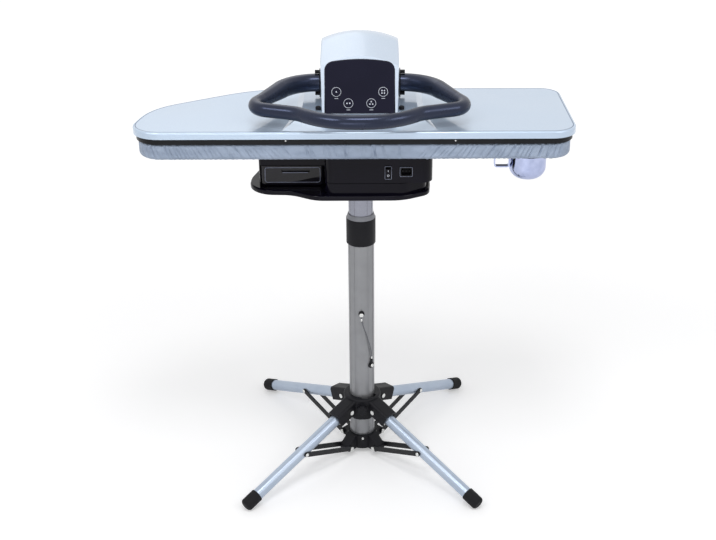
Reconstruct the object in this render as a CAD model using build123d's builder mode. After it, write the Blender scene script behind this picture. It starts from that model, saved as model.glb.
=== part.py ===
from build123d import *
import math
import os

# Steam ironing press on a folding four-legged stand, in millimetres.
# X runs along the board, Y from the user towards the hinge at the rear, Z up from the floor.
# The origin is on the floor, under the axis of the column.

# Clearances and fits
running_gap = 0.05
slide_gap = 0.2
rest_gap = 0.1
soft_gap = 0.3
part_gap = 0.5
bay_gap = 1.5

# Column and its telescoping tube
column_diameter = 60.0
column_wall = 1.8
column_top = 606.0
flute_count = 12
flute_width = 1.6
flute_depth = 0.5
inner_wall = 2.0
inner_plug_height = 12.0
collar_diameter = 67.0
collar_length = 53.0
collar_lip = 8.0
collar_ring_height = 10.0
bush_flange = 2.0

# Height pin, its grommet, tether and clip
pin_height = 382.5
pin_diameter = 8.0
pin_reach = 18.0
pin_head_diameter = 10.0
pin_head_length = 7.0
grommet_diameter = 14.0
grommet_spigot = 11.0
grommet_flange = 3.0
clip_angle = -45.0
clip_below_pin = 141.5
clip_ring_diameter = 16.5
clip_thickness = 1.6
clip_barrel_length = 11.0
clip_barrel_wall = 1.4
clip_screw_diameter = 8.0
clip_screw_head = 2.2
tether_diameter = 2.4

# Lower hub
hub_floor_height = 12.0
hub_floor = 4.0
hub_top = 48.0
hub_wall = 6.0
lug_radius = 8.0
lug_rounding = 5.0

# Leg linkage, measured in the upright plane of each leg
leg_angles = {"front_left": 225.0, "front_right": 315.0, "rear_left": 133.0, "rear_right": 47.0}
pivot_radius = 55.0
leg_pivot_height = 125.0
brace_pivot_height = 21.0
rivet_radius = 201.0
leg_diameter = 27.0
leg_wall = 1.5
leg_plug = 30.0
foot_radius = 378.0
foot_axis_height = 11.8
foot_diameter = 31.0
foot_length = 38.0
foot_end = 8.0
foot_rounding = 7.0
strap_width = 12.0
strap_thickness = 3.0
strap_clearance = 0.7
rivet_diameter = 9.0
rivet_height = 2.0
link_pin_diameter = 6.0
link_head_diameter = 11.0
link_head_height = 2.5

# Leg spider that slides on the column
spider_bottom = 101.0
spider_top = 155.0
spider_diameter = 90.0
spider_rounding = 4.0
cheek_thickness = 4.5
cheek_drop = 13.0
channel_web = 5.5
channel_reach = 92.0
channel_rounding = 7.0
channel_root_radius = 41.0
clip_pocket_radius = 38.6
clip_pocket_from = -92.0
clip_pocket_to = -25.5
knob_below_top = 22.0
knob_boss_diameter = 26.0
knob_boss_reach = 50.0
knob_diameter = 24.0
knob_depth = 9.0
knob_lobes = 6
knob_notch_diameter = 7.0
knob_stud_diameter = 8.0

# Base tray and housing
tray_bottom = 700.0
tray_height = 12.0
tray_floor = 3.0
tray_edge_rounding = 4.0
tray_left = -244.0
tray_left_back = -227.0
tray_right = 155.0
tray_right_front = 150.0
tray_right_back = 149.0
tray_front = -118.0
tray_left_front = -80.0
tray_neck_left = -150.0
tray_neck_right = -98.0
tray_neck_slope = 4.0
tray_bevel_start = 92.0
tray_bevel_end = -84.0
tray_left_bend = (0.0, 70.0)
tray_right_bend = (-30.0, 30.0)
tray_side_back = 135.0
tower_half_width = 80.0
tower_margin = 10.0
tower_rounding = 14.0
tray_shoulder = 10.0
housing_inset = 11.0
housing_side_inset = 5.0
housing_left_front = -56.0
housing_right = 156.0
housing_height = 95.0
housing_wall = 3.0
housing_back_inset = 15.0
housing_corner = 20.0
housing_front_corner = 24.0
housing_rounding = 12.0
base_bevel_start = 94.0
base_bevel_end = -74.0
base_bevel_rounding = 40.0
deck_height = 38.0
waist_rise = 33.0
waist_width = 2.0
waist_depth = 1.5
flange_size = 120.0
flange_thickness = 4.0
flange_rounding = 10.0
flange_bolt_diameter = 13.0
flange_bolt_spacing = 96.0
flange_bolt_head = 4.5

# Water tank at the left front of the base
tank_right = -78.0
tank_depth = 142.0
tank_wall = 2.0
tank_rounding = 9.0
tank_cap_diameter = 34.0
tank_cap_flange = 2.5
tank_cap_plug = 28.0
spout_diameter = 14.0
spout_length = 9.0
grip_width = 62.0
grip_height = 9.0
grip_depth = 5.0
grip_x = -141.0
grip_below_top = 9.5

# Mains inlet and power switch in the front of the housing
inlet_x = 98.5
inlet_drop = 34.5
inlet_width = 28.6
inlet_flange_height = 22.8
inlet_flange = 2.0
inlet_body_width = 25.0
inlet_body_height = 18.6
inlet_body_depth = 26.0
inlet_cavity_depth = 16.0
inlet_wall = 1.5
inlet_blade_spacing = 7.0
inlet_blade_width = 2.0
inlet_blade_height = 4.0
inlet_blade_length = 13.0
switch_x = 60.0
switch_drop = 36.5
switch_width = 16.0
switch_tall = 31.0
switch_flange = 2.0
switch_frame = 2.2
switch_body_depth = 20.0
rocker_radius = 12.4
rocker_pivot_depth = 2.5
rocker_tip_depth = 6.0
rocker_valley_depth = 4.0
rocker_back_depth = 3.0
rocker_tilt = 10.0
rocker_axle_diameter = 3.0
rocker_axle_reach = 0.8

# Pieces inside the base
boiler_diameter = 62.0
boiler_length = 96.0
boiler_x = 95.0
boiler_y = -12.0
boiler_lift = 12.0
boiler_rounding = 6.0
boiler_foot_length = 12.0
boiler_foot_width = 40.0
pump_x = 30.0
pump_y = 91.0
pump_width = 36.0
pump_length = 40.0
pump_height = 34.0
pump_motor_diameter = 28.0
pump_motor_height = 22.0
circuit_x = 131.0
circuit_length = 100.0
circuit_height = 60.0
circuit_thickness = 1.6
circuit_relay_size = 16.0

# Ironing board and the head plate above it
plate_right = 456.0
plate_front = -155.0
plate_back = 165.0
plate_taper_x = -150.0
plate_taper_points = ((-300.0, 121.0), (-410.0, 48.0), (-469.0, -37.0), (-478.0, -85.0))
plate_front_corner = 55.0
plate_back_corner = 45.0
head_space = 12.7
plate_rim_height = 15.0
plate_skin = 1.5
plate_edge_rounding = 4.0
board_inset = 10.0
shoe_inset = 6.0
shoe_thickness = 16.0
shoe_plate = 5.0
shoe_rim = 4.0
shoe_boss_diameter = 14.0
shoe_boss_spacing = 170.0
shoe_boss_y = 95.0
cover_lift = 5.5
board_thickness = 35.5
cover_skin = 1.5
cover_draw = 9.0
cover_crown = 6.0
pad_crown = 4.5
pad_draw = 3.0
pan_thickness = 3.0
pan_inset = 6.0
hem_width = 24.0
riser_length = 240.0
riser_width = 150.0
element_diameter = 7.0
element_reach = 330.0
element_pitch = 60.0

# Raised saddle under the arm
saddle_height = 9.0
saddle_half_width = 165.0
saddle_top_half_width = 125.0
saddle_front_margin = 5.0
saddle_crest_margin = 85.0
saddle_waist = -20.0
saddle_waist_half_width = 140.0
saddle_back_margin = 15.0
saddle_slope = 15.0

# Hinge of the head
hinge_behind_plate = 41.0
hinge_above_shoe = 5.7
shaft_diameter = 12.0
shaft_overhang = 6.0
hinge_boss_radius = 16.0
bracket_x = 62.0
bracket_thickness = 5.0
bracket_foot_length = 82.0
bracket_step_drop = 17.5
frame_plate_x = 50.0
frame_plate_thickness = 4.0
frame_base_thickness = 4.0
frame_front_setback = 32.0
frame_crest_setback = 5.0
frame_headroom = 36.0
hinge_bush_diameter = 18.0

# Arm casing: a crowned barrel that runs out straight to the sloping control panel
arm_half_width = 85.5
arm_front_half_width = 79.5
arm_taper_lead = 10.0
arm_taper_length = 90.0
barrel_before_hinge = 96.0
barrel_rise = 23.0
barrel_radius = 114.0
barrel_crown = 18.0
barrel_run_out_angle = 15.0
barrel_run_out = 180.0
arm_wall = 2.5
arm_edge_rounding = 5.0
cheek_radius = 36.0
cheek_top_setback = 6.0
cheek_rise = 47.0
panel_foot_reach = 175.0
panel_foot_sink = 8.0
panel_angle = 62.0
panel_start = 10.5
panel_half_width = 75.5
panel_side_length = 120.3
panel_top_length = 128.3
panel_thickness = 4.0
panel_proud = 2.5
panel_corner = 20.0
panel_bevel = 2.0
key_diameter = 21.5
key_gap = 0.2
key_travel = 1.0
key_proud = 0.5
key_outer_x = 50.0
key_outer_along = 56.5
key_inner_x = 24.4
key_inner_along = 32.0
arm_foot_diameter = 12.0
arm_foot_height = 7.0
arm_foot_x = 90.0
arm_foot_setback = 39.0

# Handle
handle_diameter = 30.0
handle_limb_diameter = 40.0
handle_root_lead = 43.0
handle_rise = 33.0
handle_drop_angle = 2.2
handle_shoulder = (147.0, 0.0)
handle_corner = (234.0, -167.0)
handle_elbow = (128.0, -203.0)
handle_grip = (68.0, -256.0)
handle_shoulder_radius = 90.0
handle_radii = (34.0, 60.0, 150.0)
handle_taper = (0.3, 0.7)
root_plate_thickness = 4.0
root_plate_length = 44.0
root_plate_height = 58.0
root_plate_rounding = 8.0
peg_diameter = 8.0
peg_length = 14.0
peg_offset = 24.7

# Hanging cup under the right end of the board
cup_x = 361.0
cup_y = -80.0
cup_height = 57.0
cup_radius = 40.0
cup_shoulder = 26.0
cup_wall = 1.2
cup_rim = 5.0
cup_handle_reach = 34.0
cup_handle_tall = 24.0
cup_handle_top_drop = 9.0
cup_handle_width = 14.0
cup_handle_thickness = 2.5
cup_handle_rounding = 6.0
rail_length = 70.0
rail_thickness = 2.0
rail_ledge = 4.0
rail_roof_width = 14.0

# Corner radii of the tray, from its rear left corner round the front to the tower
tray_roundings = (20.0, 100.0, 100.0, 58.0, 70.0, 70.0, 90.0, 30.0, 200.0, 200.0, 8.0, 8.0, 16.0, 16.0, 8.0)

# Values worked out from the sizes above
collar_bottom = column_top - collar_length
knob_height = spider_top - knob_below_top
clip_height = pin_height - clip_below_pin
column_radius = column_diameter / 2
inner_radius = column_radius - column_wall - slide_gap
bore_radius = column_radius - column_wall
collar_shelf = column_top + bush_flange
collar_top = collar_shelf + collar_lip
foot_of_inner = pin_height + pin_diameter / 2 + rest_gap
leg_radius = leg_diameter / 2
leg_slope = math.atan2(leg_pivot_height - foot_axis_height, foot_radius - pivot_radius)
leg_length = math.hypot(leg_pivot_height - foot_axis_height, foot_radius - pivot_radius)
rivet_drop = (rivet_radius - pivot_radius) * math.tan(leg_slope)
rivet_point_height = leg_pivot_height - rivet_drop
brace_length = math.hypot(rivet_radius - pivot_radius, rivet_point_height - brace_pivot_height)
brace_slope = math.degrees(math.atan2(rivet_point_height - brace_pivot_height, rivet_radius - pivot_radius))
strap_inner = leg_radius + strap_clearance
strap_outer = strap_inner + strap_thickness
cheek_outer = strap_inner + cheek_thickness
link_hole_radius = link_pin_diameter / 2 + running_gap
housing_left = tray_left_back + housing_side_inset
housing_back = tray_side_back - housing_back_inset
housing_front = tray_front + housing_inset
base_right = tray_right_back - housing_side_inset
housing_bottom = tray_bottom + tray_floor
housing_top = housing_bottom + housing_height
waist_height = housing_bottom + waist_rise
inlet_height = housing_top - inlet_drop
switch_height = housing_top - switch_drop
boiler_height = housing_bottom + boiler_lift + boiler_diameter / 2
cover_bottom = housing_top + cover_lift
cover_top = cover_bottom + board_thickness
shoe_bottom = cover_top + soft_gap
plate_top = shoe_bottom + shoe_thickness + head_space
rim_bottom = plate_top - plate_rim_height
saddle_top = plate_top + saddle_height
saddle_front = plate_front + saddle_front_margin
saddle_crest_front = plate_front + saddle_crest_margin
saddle_back = plate_back - saddle_back_margin
hinge_y = plate_back + hinge_behind_plate
hinge_z = shoe_bottom + hinge_above_shoe
bracket_front = hinge_y + hinge_boss_radius - bracket_foot_length
tower_back = hinge_y + hinge_boss_radius + tower_margin
barrel_y = hinge_y - barrel_before_hinge
barrel_z = saddle_top + barrel_rise
panel_foot_y = barrel_y - panel_foot_reach
panel_foot_z = saddle_top - panel_foot_sink
arm_taper_front = panel_foot_y - arm_taper_lead
arm_taper_back = arm_taper_front + arm_taper_length
arm_foot_y = panel_foot_y + arm_foot_setback
cheek_front = hinge_y - cheek_radius
cheek_top_y = hinge_y - cheek_top_setback
cheek_top_z = hinge_z + cheek_rise
frame_front = panel_foot_y + frame_front_setback
frame_crest_y = barrel_y - frame_crest_setback
frame_crest_z = barrel_z + barrel_radius - frame_headroom
handle_root_y = barrel_y - handle_root_lead
handle_root_z = saddle_top + handle_rise
cup_top = housing_top
cup_bottom = cup_top - cup_height
bay_floor = tray_bottom + tray_height
deck_bottom = housing_top - deck_height
tank_bottom = bay_floor + slide_gap
tank_top = deck_bottom - bay_gap
tank_left = housing_left + housing_wall + bay_gap
block_left = tank_right + bay_gap
tank_back = housing_left_front + tank_depth
tower_front = housing_back + part_gap
tower_step = cover_bottom - 2 * housing_wall
bracket_step = tower_step - bracket_step_drop
tower_top = hinge_z - hinge_boss_radius - 2 * housing_wall
pan_bottom = cover_bottom + pan_thickness
pad_bottom = pan_bottom + pan_thickness + soft_gap
wire_radius = tether_diameter / 2

os.makedirs("parts", exist_ok=True)


def save(sub_part, name):
    """Labels a finished piece and writes it under its own name."""
    sub_part.label = name
    export_step(sub_part, "parts/" + name + ".step")


def radial(angle):
    """Unit vector that points outwards at this angle round the column."""
    return Vector(math.cos(math.radians(angle)), math.sin(math.radians(angle)), 0)


def leg_plane(angle):
    """Upright plane through the column axis: local x is the radius, local y the height."""
    out = radial(angle)
    return Plane(origin=(0, 0, 0), x_dir=out, z_dir=Vector(out.Y, -out.X, 0))


def leg_axis_plane(angle):
    """Plane square to a leg at its pivot: the normal runs down the leg, local y points below it."""
    out = radial(angle)
    pivot = out * pivot_radius + Vector(0, 0, leg_pivot_height)
    along = out * math.cos(leg_slope) - Vector(0, 0, math.sin(leg_slope))
    return Plane(origin=pivot, x_dir=Vector(out.Y, -out.X, 0), z_dir=along)


def fluted_circle(radius):
    """Tube outline with shallow flutes, on the active sketch."""
    Circle(radius)
    with PolarLocations(radius, flute_count):
        Rectangle(2 * flute_depth, flute_width, mode=Mode.SUBTRACT)


def make_pins(height, half_grip, name):
    """Four headed pins, one across the upright plane of each leg."""
    with BuildPart() as pins:
        for angle in leg_angles.values():
            with BuildSketch(leg_plane(angle)):
                with Locations((pivot_radius, height)):
                    Circle(link_pin_diameter / 2)
            extrude(amount=half_grip, both=True)
            for side in (1, -1):
                with BuildSketch(leg_plane(angle).offset(side * half_grip)):
                    with Locations((pivot_radius, height)):
                        Circle(link_head_diameter / 2)
                extrude(amount=side * link_head_height)
    save(pins.part, name)


# Outer column: fluted tube with a cross hole for the height pin
column_foot = hub_floor_height + hub_floor
with BuildPart() as outer_column:
    with BuildSketch(Plane.XY.offset(column_foot)):
        fluted_circle(column_radius)
        Circle(bore_radius, mode=Mode.SUBTRACT)
    extrude(amount=column_top - column_foot)
    with BuildSketch(Plane.XZ):
        with Locations((0, pin_height)):
            Circle(grommet_spigot / 2 + running_gap)
    extrude(amount=column_diameter, mode=Mode.SUBTRACT)
save(outer_column.part, "outer_column")

# Column bush: plastic guide ring on the top edge of the column, under the lip of the collar
with BuildPart() as column_bush:
    with BuildSketch(Plane.XY.offset(column_top)):
        Circle(column_radius)
        Circle(inner_radius + running_gap, mode=Mode.SUBTRACT)
    extrude(amount=bush_flange)
save(column_bush.part, "column_bush")

# Column collar: black sleeve over the top of the column
with BuildPart() as column_collar:
    with BuildSketch(Plane.XY.offset(collar_bottom)):
        Circle(collar_diameter / 2)
        Circle(column_radius + running_gap, mode=Mode.SUBTRACT)
    extrude(amount=collar_shelf - collar_bottom)
    with BuildSketch(Plane.XY.offset(collar_shelf)):
        Circle(collar_diameter / 2)
        Circle(inner_radius + slide_gap, mode=Mode.SUBTRACT)
    extrude(amount=collar_lip)
    chamfer(column_collar.faces().sort_by(Axis.Z)[0].outer_wire().edges(), length=1.5)
save(column_collar.part, "column_collar")

# Collar ring: pale tapered wiper ring on top of the collar
with BuildPart() as collar_ring:
    with BuildSketch(Plane.XY.offset(collar_top)):
        Circle(collar_diameter / 2 - part_gap)
    with BuildSketch(Plane.XY.offset(collar_top + collar_ring_height)):
        Circle(inner_radius + 3 * part_gap)
    loft()
    with BuildSketch(Plane.XY.offset(collar_top)):
        Circle(inner_radius + slide_gap)
    extrude(amount=collar_ring_height, mode=Mode.SUBTRACT)
save(collar_ring.part, "collar_ring")

# Pin grommet: black liner of the pin hole in the front wall of the column
grommet_face = column_radius + rest_gap
grommet_back = bore_radius + rest_gap
with BuildPart() as pin_grommet:
    with BuildSketch(Plane.XZ.offset(grommet_face)):
        with Locations((0, pin_height)):
            Circle(grommet_diameter / 2)
    extrude(amount=grommet_flange)
    with BuildSketch(Plane.XZ.offset(grommet_back)):
        with Locations((0, pin_height)):
            Circle(grommet_spigot / 2)
    extrude(amount=grommet_face - grommet_back)
    with BuildSketch(Plane.XZ):
        with Locations((0, pin_height)):
            Circle(pin_diameter / 2 + running_gap)
    extrude(amount=column_diameter, mode=Mode.SUBTRACT)
save(pin_grommet.part, "pin_grommet")

# Height pin: passes under the foot of the inner column, which rests on it
pin_head_face = grommet_face + grommet_flange + part_gap
pin_tip = inner_radius - pin_reach
tether_hole_depth = 2.5
with BuildPart() as height_pin:
    with BuildSketch(Plane.XZ.offset(pin_tip)):
        with Locations((0, pin_height)):
            Circle(pin_diameter / 2)
    extrude(amount=pin_head_face - pin_tip)
    chamfer(height_pin.edges().sort_by(Axis.Y)[-1], length=1)
    with BuildSketch(Plane.XZ.offset(pin_head_face)):
        with Locations((0, pin_height)):
            Circle(pin_head_diameter / 2)
    extrude(amount=pin_head_length)
    fillet(height_pin.edges().sort_by(Axis.Y)[0], radius=1.5)
    with BuildSketch(Plane.XY.offset(pin_height - pin_head_diameter)):
        with Locations((0, -pin_head_face - pin_head_length / 2)):
            Circle(wire_radius + running_gap)
    extrude(amount=pin_head_diameter / 2 + tether_hole_depth, mode=Mode.SUBTRACT)
save(height_pin.part, "height_pin")

# Tether clip: ring terminal crimped on the wire and held to the column by one screw
clip_out = radial(clip_angle)
clip_across = (-clip_out.Y, clip_out.X, 0)
clip_face = Plane(origin=clip_out * (column_radius + rest_gap), x_dir=clip_across, z_dir=clip_out)
barrel_radius_outer = wire_radius + running_gap + clip_barrel_wall
barrel_axis = clip_out * (column_radius + slide_gap + rest_gap + barrel_radius_outer)
barrel_bottom = clip_height + clip_ring_diameter / 2 - clip_barrel_wall
barrel_floor = barrel_bottom + clip_barrel_wall
with BuildPart() as tether_clip:
    with BuildSketch(clip_face):
        with Locations((0, clip_height)):
            Circle(clip_ring_diameter / 2)
    extrude(amount=clip_thickness)
    with BuildSketch(clip_face.offset(clip_thickness)):
        with Locations((0, clip_height)):
            Circle(clip_screw_diameter / 2)
    extrude(amount=clip_screw_head)
    with BuildSketch(Plane.XY.offset(barrel_bottom)):
        with Locations((barrel_axis.X, barrel_axis.Y)):
            Circle(barrel_radius_outer)
    extrude(amount=clip_barrel_length)
    with BuildSketch(Plane.XY.offset(barrel_floor)):
        with Locations((barrel_axis.X, barrel_axis.Y)):
            Circle(wire_radius + running_gap)
    extrude(amount=clip_barrel_length, mode=Mode.SUBTRACT)
save(tether_clip.part, "tether_clip")

# Pin tether: steel wire from the head of the pin down to the clip, lying close to the column
tether_top = pin_height - pin_head_diameter / 2 + tether_hole_depth - rest_gap
tether_start = (0, -pin_head_face - pin_head_length / 2, tether_top)
tether_end = (barrel_axis.X, barrel_axis.Y, barrel_floor + rest_gap)
tether_points = [
    tether_start,
    (0.3, tether_start[1] + 0.2, 364.0),
    (5.8, -36.6, 349.0),
    (13.6, -33.6, 330.0),
    (19.6, -28.6, 307.0),
    (barrel_axis.X, barrel_axis.Y, 283.0),
    tether_end,
]


def cord_radii(points):
    """Largest tangent arcs that the runs on both sides of each corner allow."""
    radii = []
    for before, corner, after in zip(points, points[1:], points[2:]):
        run_in = Vector(corner) - Vector(before)
        run_out = Vector(after) - Vector(corner)
        half_turn = math.radians(run_in.get_angle(run_out)) / 2
        radii.append(0.45 * min(run_in.length, run_out.length) / math.tan(half_turn))
    return radii


tether_radii = cord_radii(tether_points)
print("tether radii", [round(radius, 1) for radius in tether_radii])
with BuildPart() as pin_tether:
    with BuildLine() as tether_path:
        FilletPolyline(*tether_points, radius=tether_radii)
    with BuildSketch(Plane(origin=tether_path.line @ 0, z_dir=tether_path.line % 0)):
        Circle(wire_radius)
    sweep(path=tether_path.line)
tether_length = sum(edge.length for edge in tether_path.edges())
print("tether length", round(tether_length, 1))
save(pin_tether.part, "pin_tether")

# Foot hub: cup under the column with a lug for each brace
hub_radius = column_radius + hub_wall
with BuildPart() as foot_hub:
    with BuildSketch(Plane.XY.offset(hub_floor_height)):
        Circle(hub_radius)
    extrude(amount=hub_top - hub_floor_height)
    for angle in leg_angles.values():
        with BuildSketch(leg_plane(angle)) as lug:
            with BuildLine():
                Polyline(
                    (0, hub_floor_height),
                    (pivot_radius + lug_radius, hub_floor_height),
                    (pivot_radius + lug_radius, brace_pivot_height + lug_radius / 2),
                    (hub_radius + 1, hub_top),
                    (0, hub_top),
                    close=True,
                )
            make_face()
            fillet(lug.vertices().group_by(Axis.X)[-1], radius=lug_rounding)
        extrude(amount=strap_inner - part_gap, both=True)
        with BuildSketch(leg_plane(angle)):
            with Locations((pivot_radius, brace_pivot_height)):
                Circle(link_hole_radius)
        extrude(amount=hub_radius, both=True, mode=Mode.SUBTRACT)
    with BuildSketch(Plane.XY.offset(column_foot)):
        Circle(column_radius + running_gap)
    extrude(amount=hub_top, mode=Mode.SUBTRACT)
save(foot_hub.part, "foot_hub")

# Brace pins: four headed pins through the lugs of the hub
make_pins(brace_pivot_height, strap_outer + slide_gap, "brace_pins")

# Leg spider: sliding ring with one open channel for each leg
bore_line = leg_pivot_height + (pivot_radius - channel_root_radius) * math.tan(leg_slope)
channel_rise = strap_inner / math.cos(leg_slope)
with BuildPart() as leg_spider:
    with BuildSketch(Plane.XY.offset(spider_bottom)):
        Circle(spider_diameter / 2)
    extrude(amount=spider_top - spider_bottom)
    fillet(leg_spider.edges().group_by(Axis.Z)[-1], radius=spider_rounding)
    for angle in leg_angles.values():
        arm_root = leg_axis_plane(angle).offset((column_radius - pivot_radius) / math.cos(leg_slope))
        with BuildSketch(arm_root) as block:
            with BuildLine():
                Polyline(
                    (-cheek_outer, cheek_drop),
                    (cheek_outer, cheek_drop),
                    (cheek_outer, -strap_inner - channel_web),
                    (-cheek_outer, -strap_inner - channel_web),
                    close=True,
                )
            make_face()
            fillet(block.vertices().group_by(Axis.Y)[0], radius=channel_rounding)
        extrude(amount=(channel_reach - column_radius) / math.cos(leg_slope))
    with BuildSketch(Plane.XZ.offset(column_radius)):
        with Locations((0, knob_height)):
            Circle(knob_boss_diameter / 2)
    extrude(amount=knob_boss_reach - column_radius)
    channel_drop = (2 * channel_reach - channel_root_radius) * math.tan(leg_slope)
    for angle in leg_angles.values():
        with BuildSketch(leg_plane(angle)):
            with BuildLine():
                Polyline(
                    (channel_root_radius, 0),
                    (2 * channel_reach, 0),
                    (2 * channel_reach, bore_line + channel_rise - channel_drop),
                    (channel_root_radius, bore_line + channel_rise),
                    close=True,
                )
            make_face()
        extrude(amount=strap_inner, both=True, mode=Mode.SUBTRACT)
        with BuildSketch(leg_plane(angle)):
            with Locations((pivot_radius, leg_pivot_height)):
                Circle(link_hole_radius)
        extrude(amount=column_diameter, both=True, mode=Mode.SUBTRACT)
    with BuildSketch(Plane.XY):
        Circle(column_radius + slide_gap)
    extrude(amount=2 * spider_top, mode=Mode.SUBTRACT)
    with BuildSketch(Plane.XY):
        with BuildLine():
            pocket_start = radial(clip_pocket_from) * clip_pocket_radius
            pocket_end = radial(clip_pocket_to) * clip_pocket_radius
            pocket_mid = radial((clip_pocket_from + clip_pocket_to) / 2) * clip_pocket_radius
            Line((0, 0), pocket_start)
            ThreePointArc(pocket_start, pocket_mid, pocket_end)
            Line(pocket_end, (0, 0))
        make_face()
    extrude(amount=2 * spider_top, mode=Mode.SUBTRACT)
    with BuildSketch(Plane.XZ):
        with Locations((0, knob_height)):
            Circle(knob_stud_diameter / 2 + running_gap)
    extrude(amount=column_diameter, mode=Mode.SUBTRACT)
save(leg_spider.part, "leg_spider")

# Leg pins: four headed pins across the channels of the spider
make_pins(leg_pivot_height, cheek_outer + rest_gap, "leg_pins")

# Clamp knob: star grip with the stud that presses on the column
with BuildPart() as clamp_knob:
    with BuildSketch(Plane.XZ.offset(knob_boss_reach + part_gap)):
        with Locations((0, knob_height)):
            Circle(knob_diameter / 2)
            with PolarLocations(knob_diameter / 2 + knob_notch_diameter / 4, knob_lobes):
                Circle(knob_notch_diameter / 2, mode=Mode.SUBTRACT)
    extrude(amount=knob_depth)
    fillet(clamp_knob.faces().sort_by(Axis.Y)[0].edges(), radius=1.2)
    with BuildSketch(Plane.XZ.offset(column_radius + rest_gap)):
        with Locations((0, knob_height)):
            Circle(knob_stud_diameter / 2)
    extrude(amount=knob_boss_reach + part_gap - column_radius - rest_gap)
save(clamp_knob.part, "clamp_knob")


def make_leg(angle, name):
    """Leg tube with a closed rounded end that turns on the pin in its channel."""
    square = leg_axis_plane(angle)
    tube_length = leg_length - foot_end
    with BuildPart() as leg:
        with BuildSketch(square):
            Circle(leg_radius)
        extrude(amount=tube_length)
        with Locations(square.origin):
            Sphere(leg_radius)
        with BuildSketch(square.offset(leg_plug)):
            Circle(leg_radius - leg_wall)
        extrude(amount=tube_length - leg_plug, mode=Mode.SUBTRACT)
        with BuildSketch(leg_plane(angle)):
            with Locations((pivot_radius, leg_pivot_height)):
                Circle(link_hole_radius)
        extrude(amount=leg_diameter, both=True, mode=Mode.SUBTRACT)
    save(leg.part, "leg_" + name)


def make_foot(angle, name):
    """Rubber cap over the end of a leg, with a small flat where it stands on the floor."""
    square = leg_axis_plane(angle)
    with BuildPart() as foot:
        with BuildSketch(square.offset(leg_length - foot_length)):
            Circle(foot_diameter / 2)
        extrude(amount=foot_length)
        fillet(foot.faces().sort_by(Axis(square.origin, square.z_dir))[-1].edges(), radius=foot_rounding)
        with BuildSketch(square.offset(leg_length - foot_length)):
            Circle(leg_radius + running_gap)
        extrude(amount=foot_length - foot_end, mode=Mode.SUBTRACT)
        with BuildSketch(Plane.XY):
            Circle(2 * foot_radius)
        extrude(amount=-foot_diameter, mode=Mode.SUBTRACT)
    save(foot.part, "foot_" + name)


def make_brace(angle, name):
    """Pair of flat straps from a hub lug to the two flanks of a leg, with their rivet heads."""
    middle = ((pivot_radius + rivet_radius) / 2, (brace_pivot_height + rivet_point_height) / 2)
    with BuildPart() as brace:
        for side in (1, -1):
            with BuildSketch(leg_plane(angle).offset(side * strap_inner)):
                with Locations(Location(middle, brace_slope)):
                    SlotCenterToCenter(brace_length, strap_width)
                with Locations((pivot_radius, brace_pivot_height)):
                    Circle(link_hole_radius, mode=Mode.SUBTRACT)
            extrude(amount=side * strap_thickness)
            with BuildSketch(leg_plane(angle).offset(side * strap_outer)):
                with Locations((rivet_radius, rivet_point_height)):
                    Circle(rivet_diameter / 2)
            extrude(amount=side * rivet_height)
    save(brace.part, "brace_" + name)


for leg_name, leg_angle in leg_angles.items():
    make_leg(leg_angle, leg_name)
    make_foot(leg_angle, leg_name)
    make_brace(leg_angle, leg_name)

# Inner column: fluted telescoping tube that carries the press
with BuildPart() as inner_column:
    with BuildSketch(Plane.XY.offset(foot_of_inner)):
        fluted_circle(inner_radius)
        Circle(inner_radius - inner_wall, mode=Mode.SUBTRACT)
    extrude(amount=housing_bottom - foot_of_inner)
save(inner_column.part, "inner_column")

# Inner plug: plastic foot of the inner column, which stands on the height pin
with BuildPart() as inner_plug:
    with BuildSketch(Plane.XY.offset(foot_of_inner)):
        Circle(inner_radius - inner_wall - running_gap)
    extrude(amount=inner_plug_height)
save(inner_plug.part, "inner_plug")


with BuildSketch() as tray_plan:
    with BuildLine():
        FilletPolyline(
            (tray_left_back, tray_side_back),
            (tray_left_back, tray_left_bend[1]),
            (tray_left, tray_left_bend[0]),
            (tray_left, tray_left_front),
            (tray_neck_left, tray_left_front - tray_neck_slope),
            (tray_neck_right, tray_front),
            (tray_bevel_start, tray_front),
            (tray_right_front, tray_bevel_end),
            (tray_right, tray_right_bend[0]),
            (tray_right_back, tray_right_bend[1]),
            (tray_right_back, tray_side_back),
            (tower_half_width + tray_shoulder, tray_side_back + tray_shoulder),
            (tower_half_width + tray_shoulder, tower_back + tray_shoulder),
            (-tower_half_width - tray_shoulder, tower_back + tray_shoulder),
            (-tower_half_width - tray_shoulder, tray_side_back + tray_shoulder),
            radius=tray_roundings,
            close=True,
        )
    make_face()


# Outline of the foot of the housing, which follows the tray at its right front corner
with BuildSketch() as base_plan:
    with BuildLine():
        FilletPolyline(
            (housing_left, housing_back),
            (housing_left, housing_left_front),
            (block_left, housing_left_front),
            (block_left, housing_front),
            (base_bevel_start, housing_front),
            (base_right, base_bevel_end),
            (base_right, housing_back),
            radius=[
                housing_rounding,
                housing_rounding,
                0,
                housing_corner,
                base_bevel_rounding,
                housing_front_corner,
                housing_rounding,
            ],
            close=True,
        )
    make_face()


# Outline of the housing above its waist, which overhangs the foot on the right
with BuildSketch() as housing_plan:
    with BuildLine():
        FilletPolyline(
            (housing_left, housing_back),
            (housing_left, housing_left_front),
            (block_left, housing_left_front),
            (block_left, housing_front),
            (housing_right, housing_front),
            (housing_right, housing_back),
            radius=[
                housing_rounding,
                housing_rounding,
                0,
                housing_corner,
                housing_front_corner,
                housing_rounding,
            ],
            close=True,
        )
    make_face()


with BuildSketch() as tower_plan:
    with BuildLine():
        Polyline(
            (-tower_half_width, tower_front),
            (tower_half_width, tower_front),
            (tower_half_width, tower_back),
            (-tower_half_width, tower_back),
            close=True,
        )
    make_face()


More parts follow.
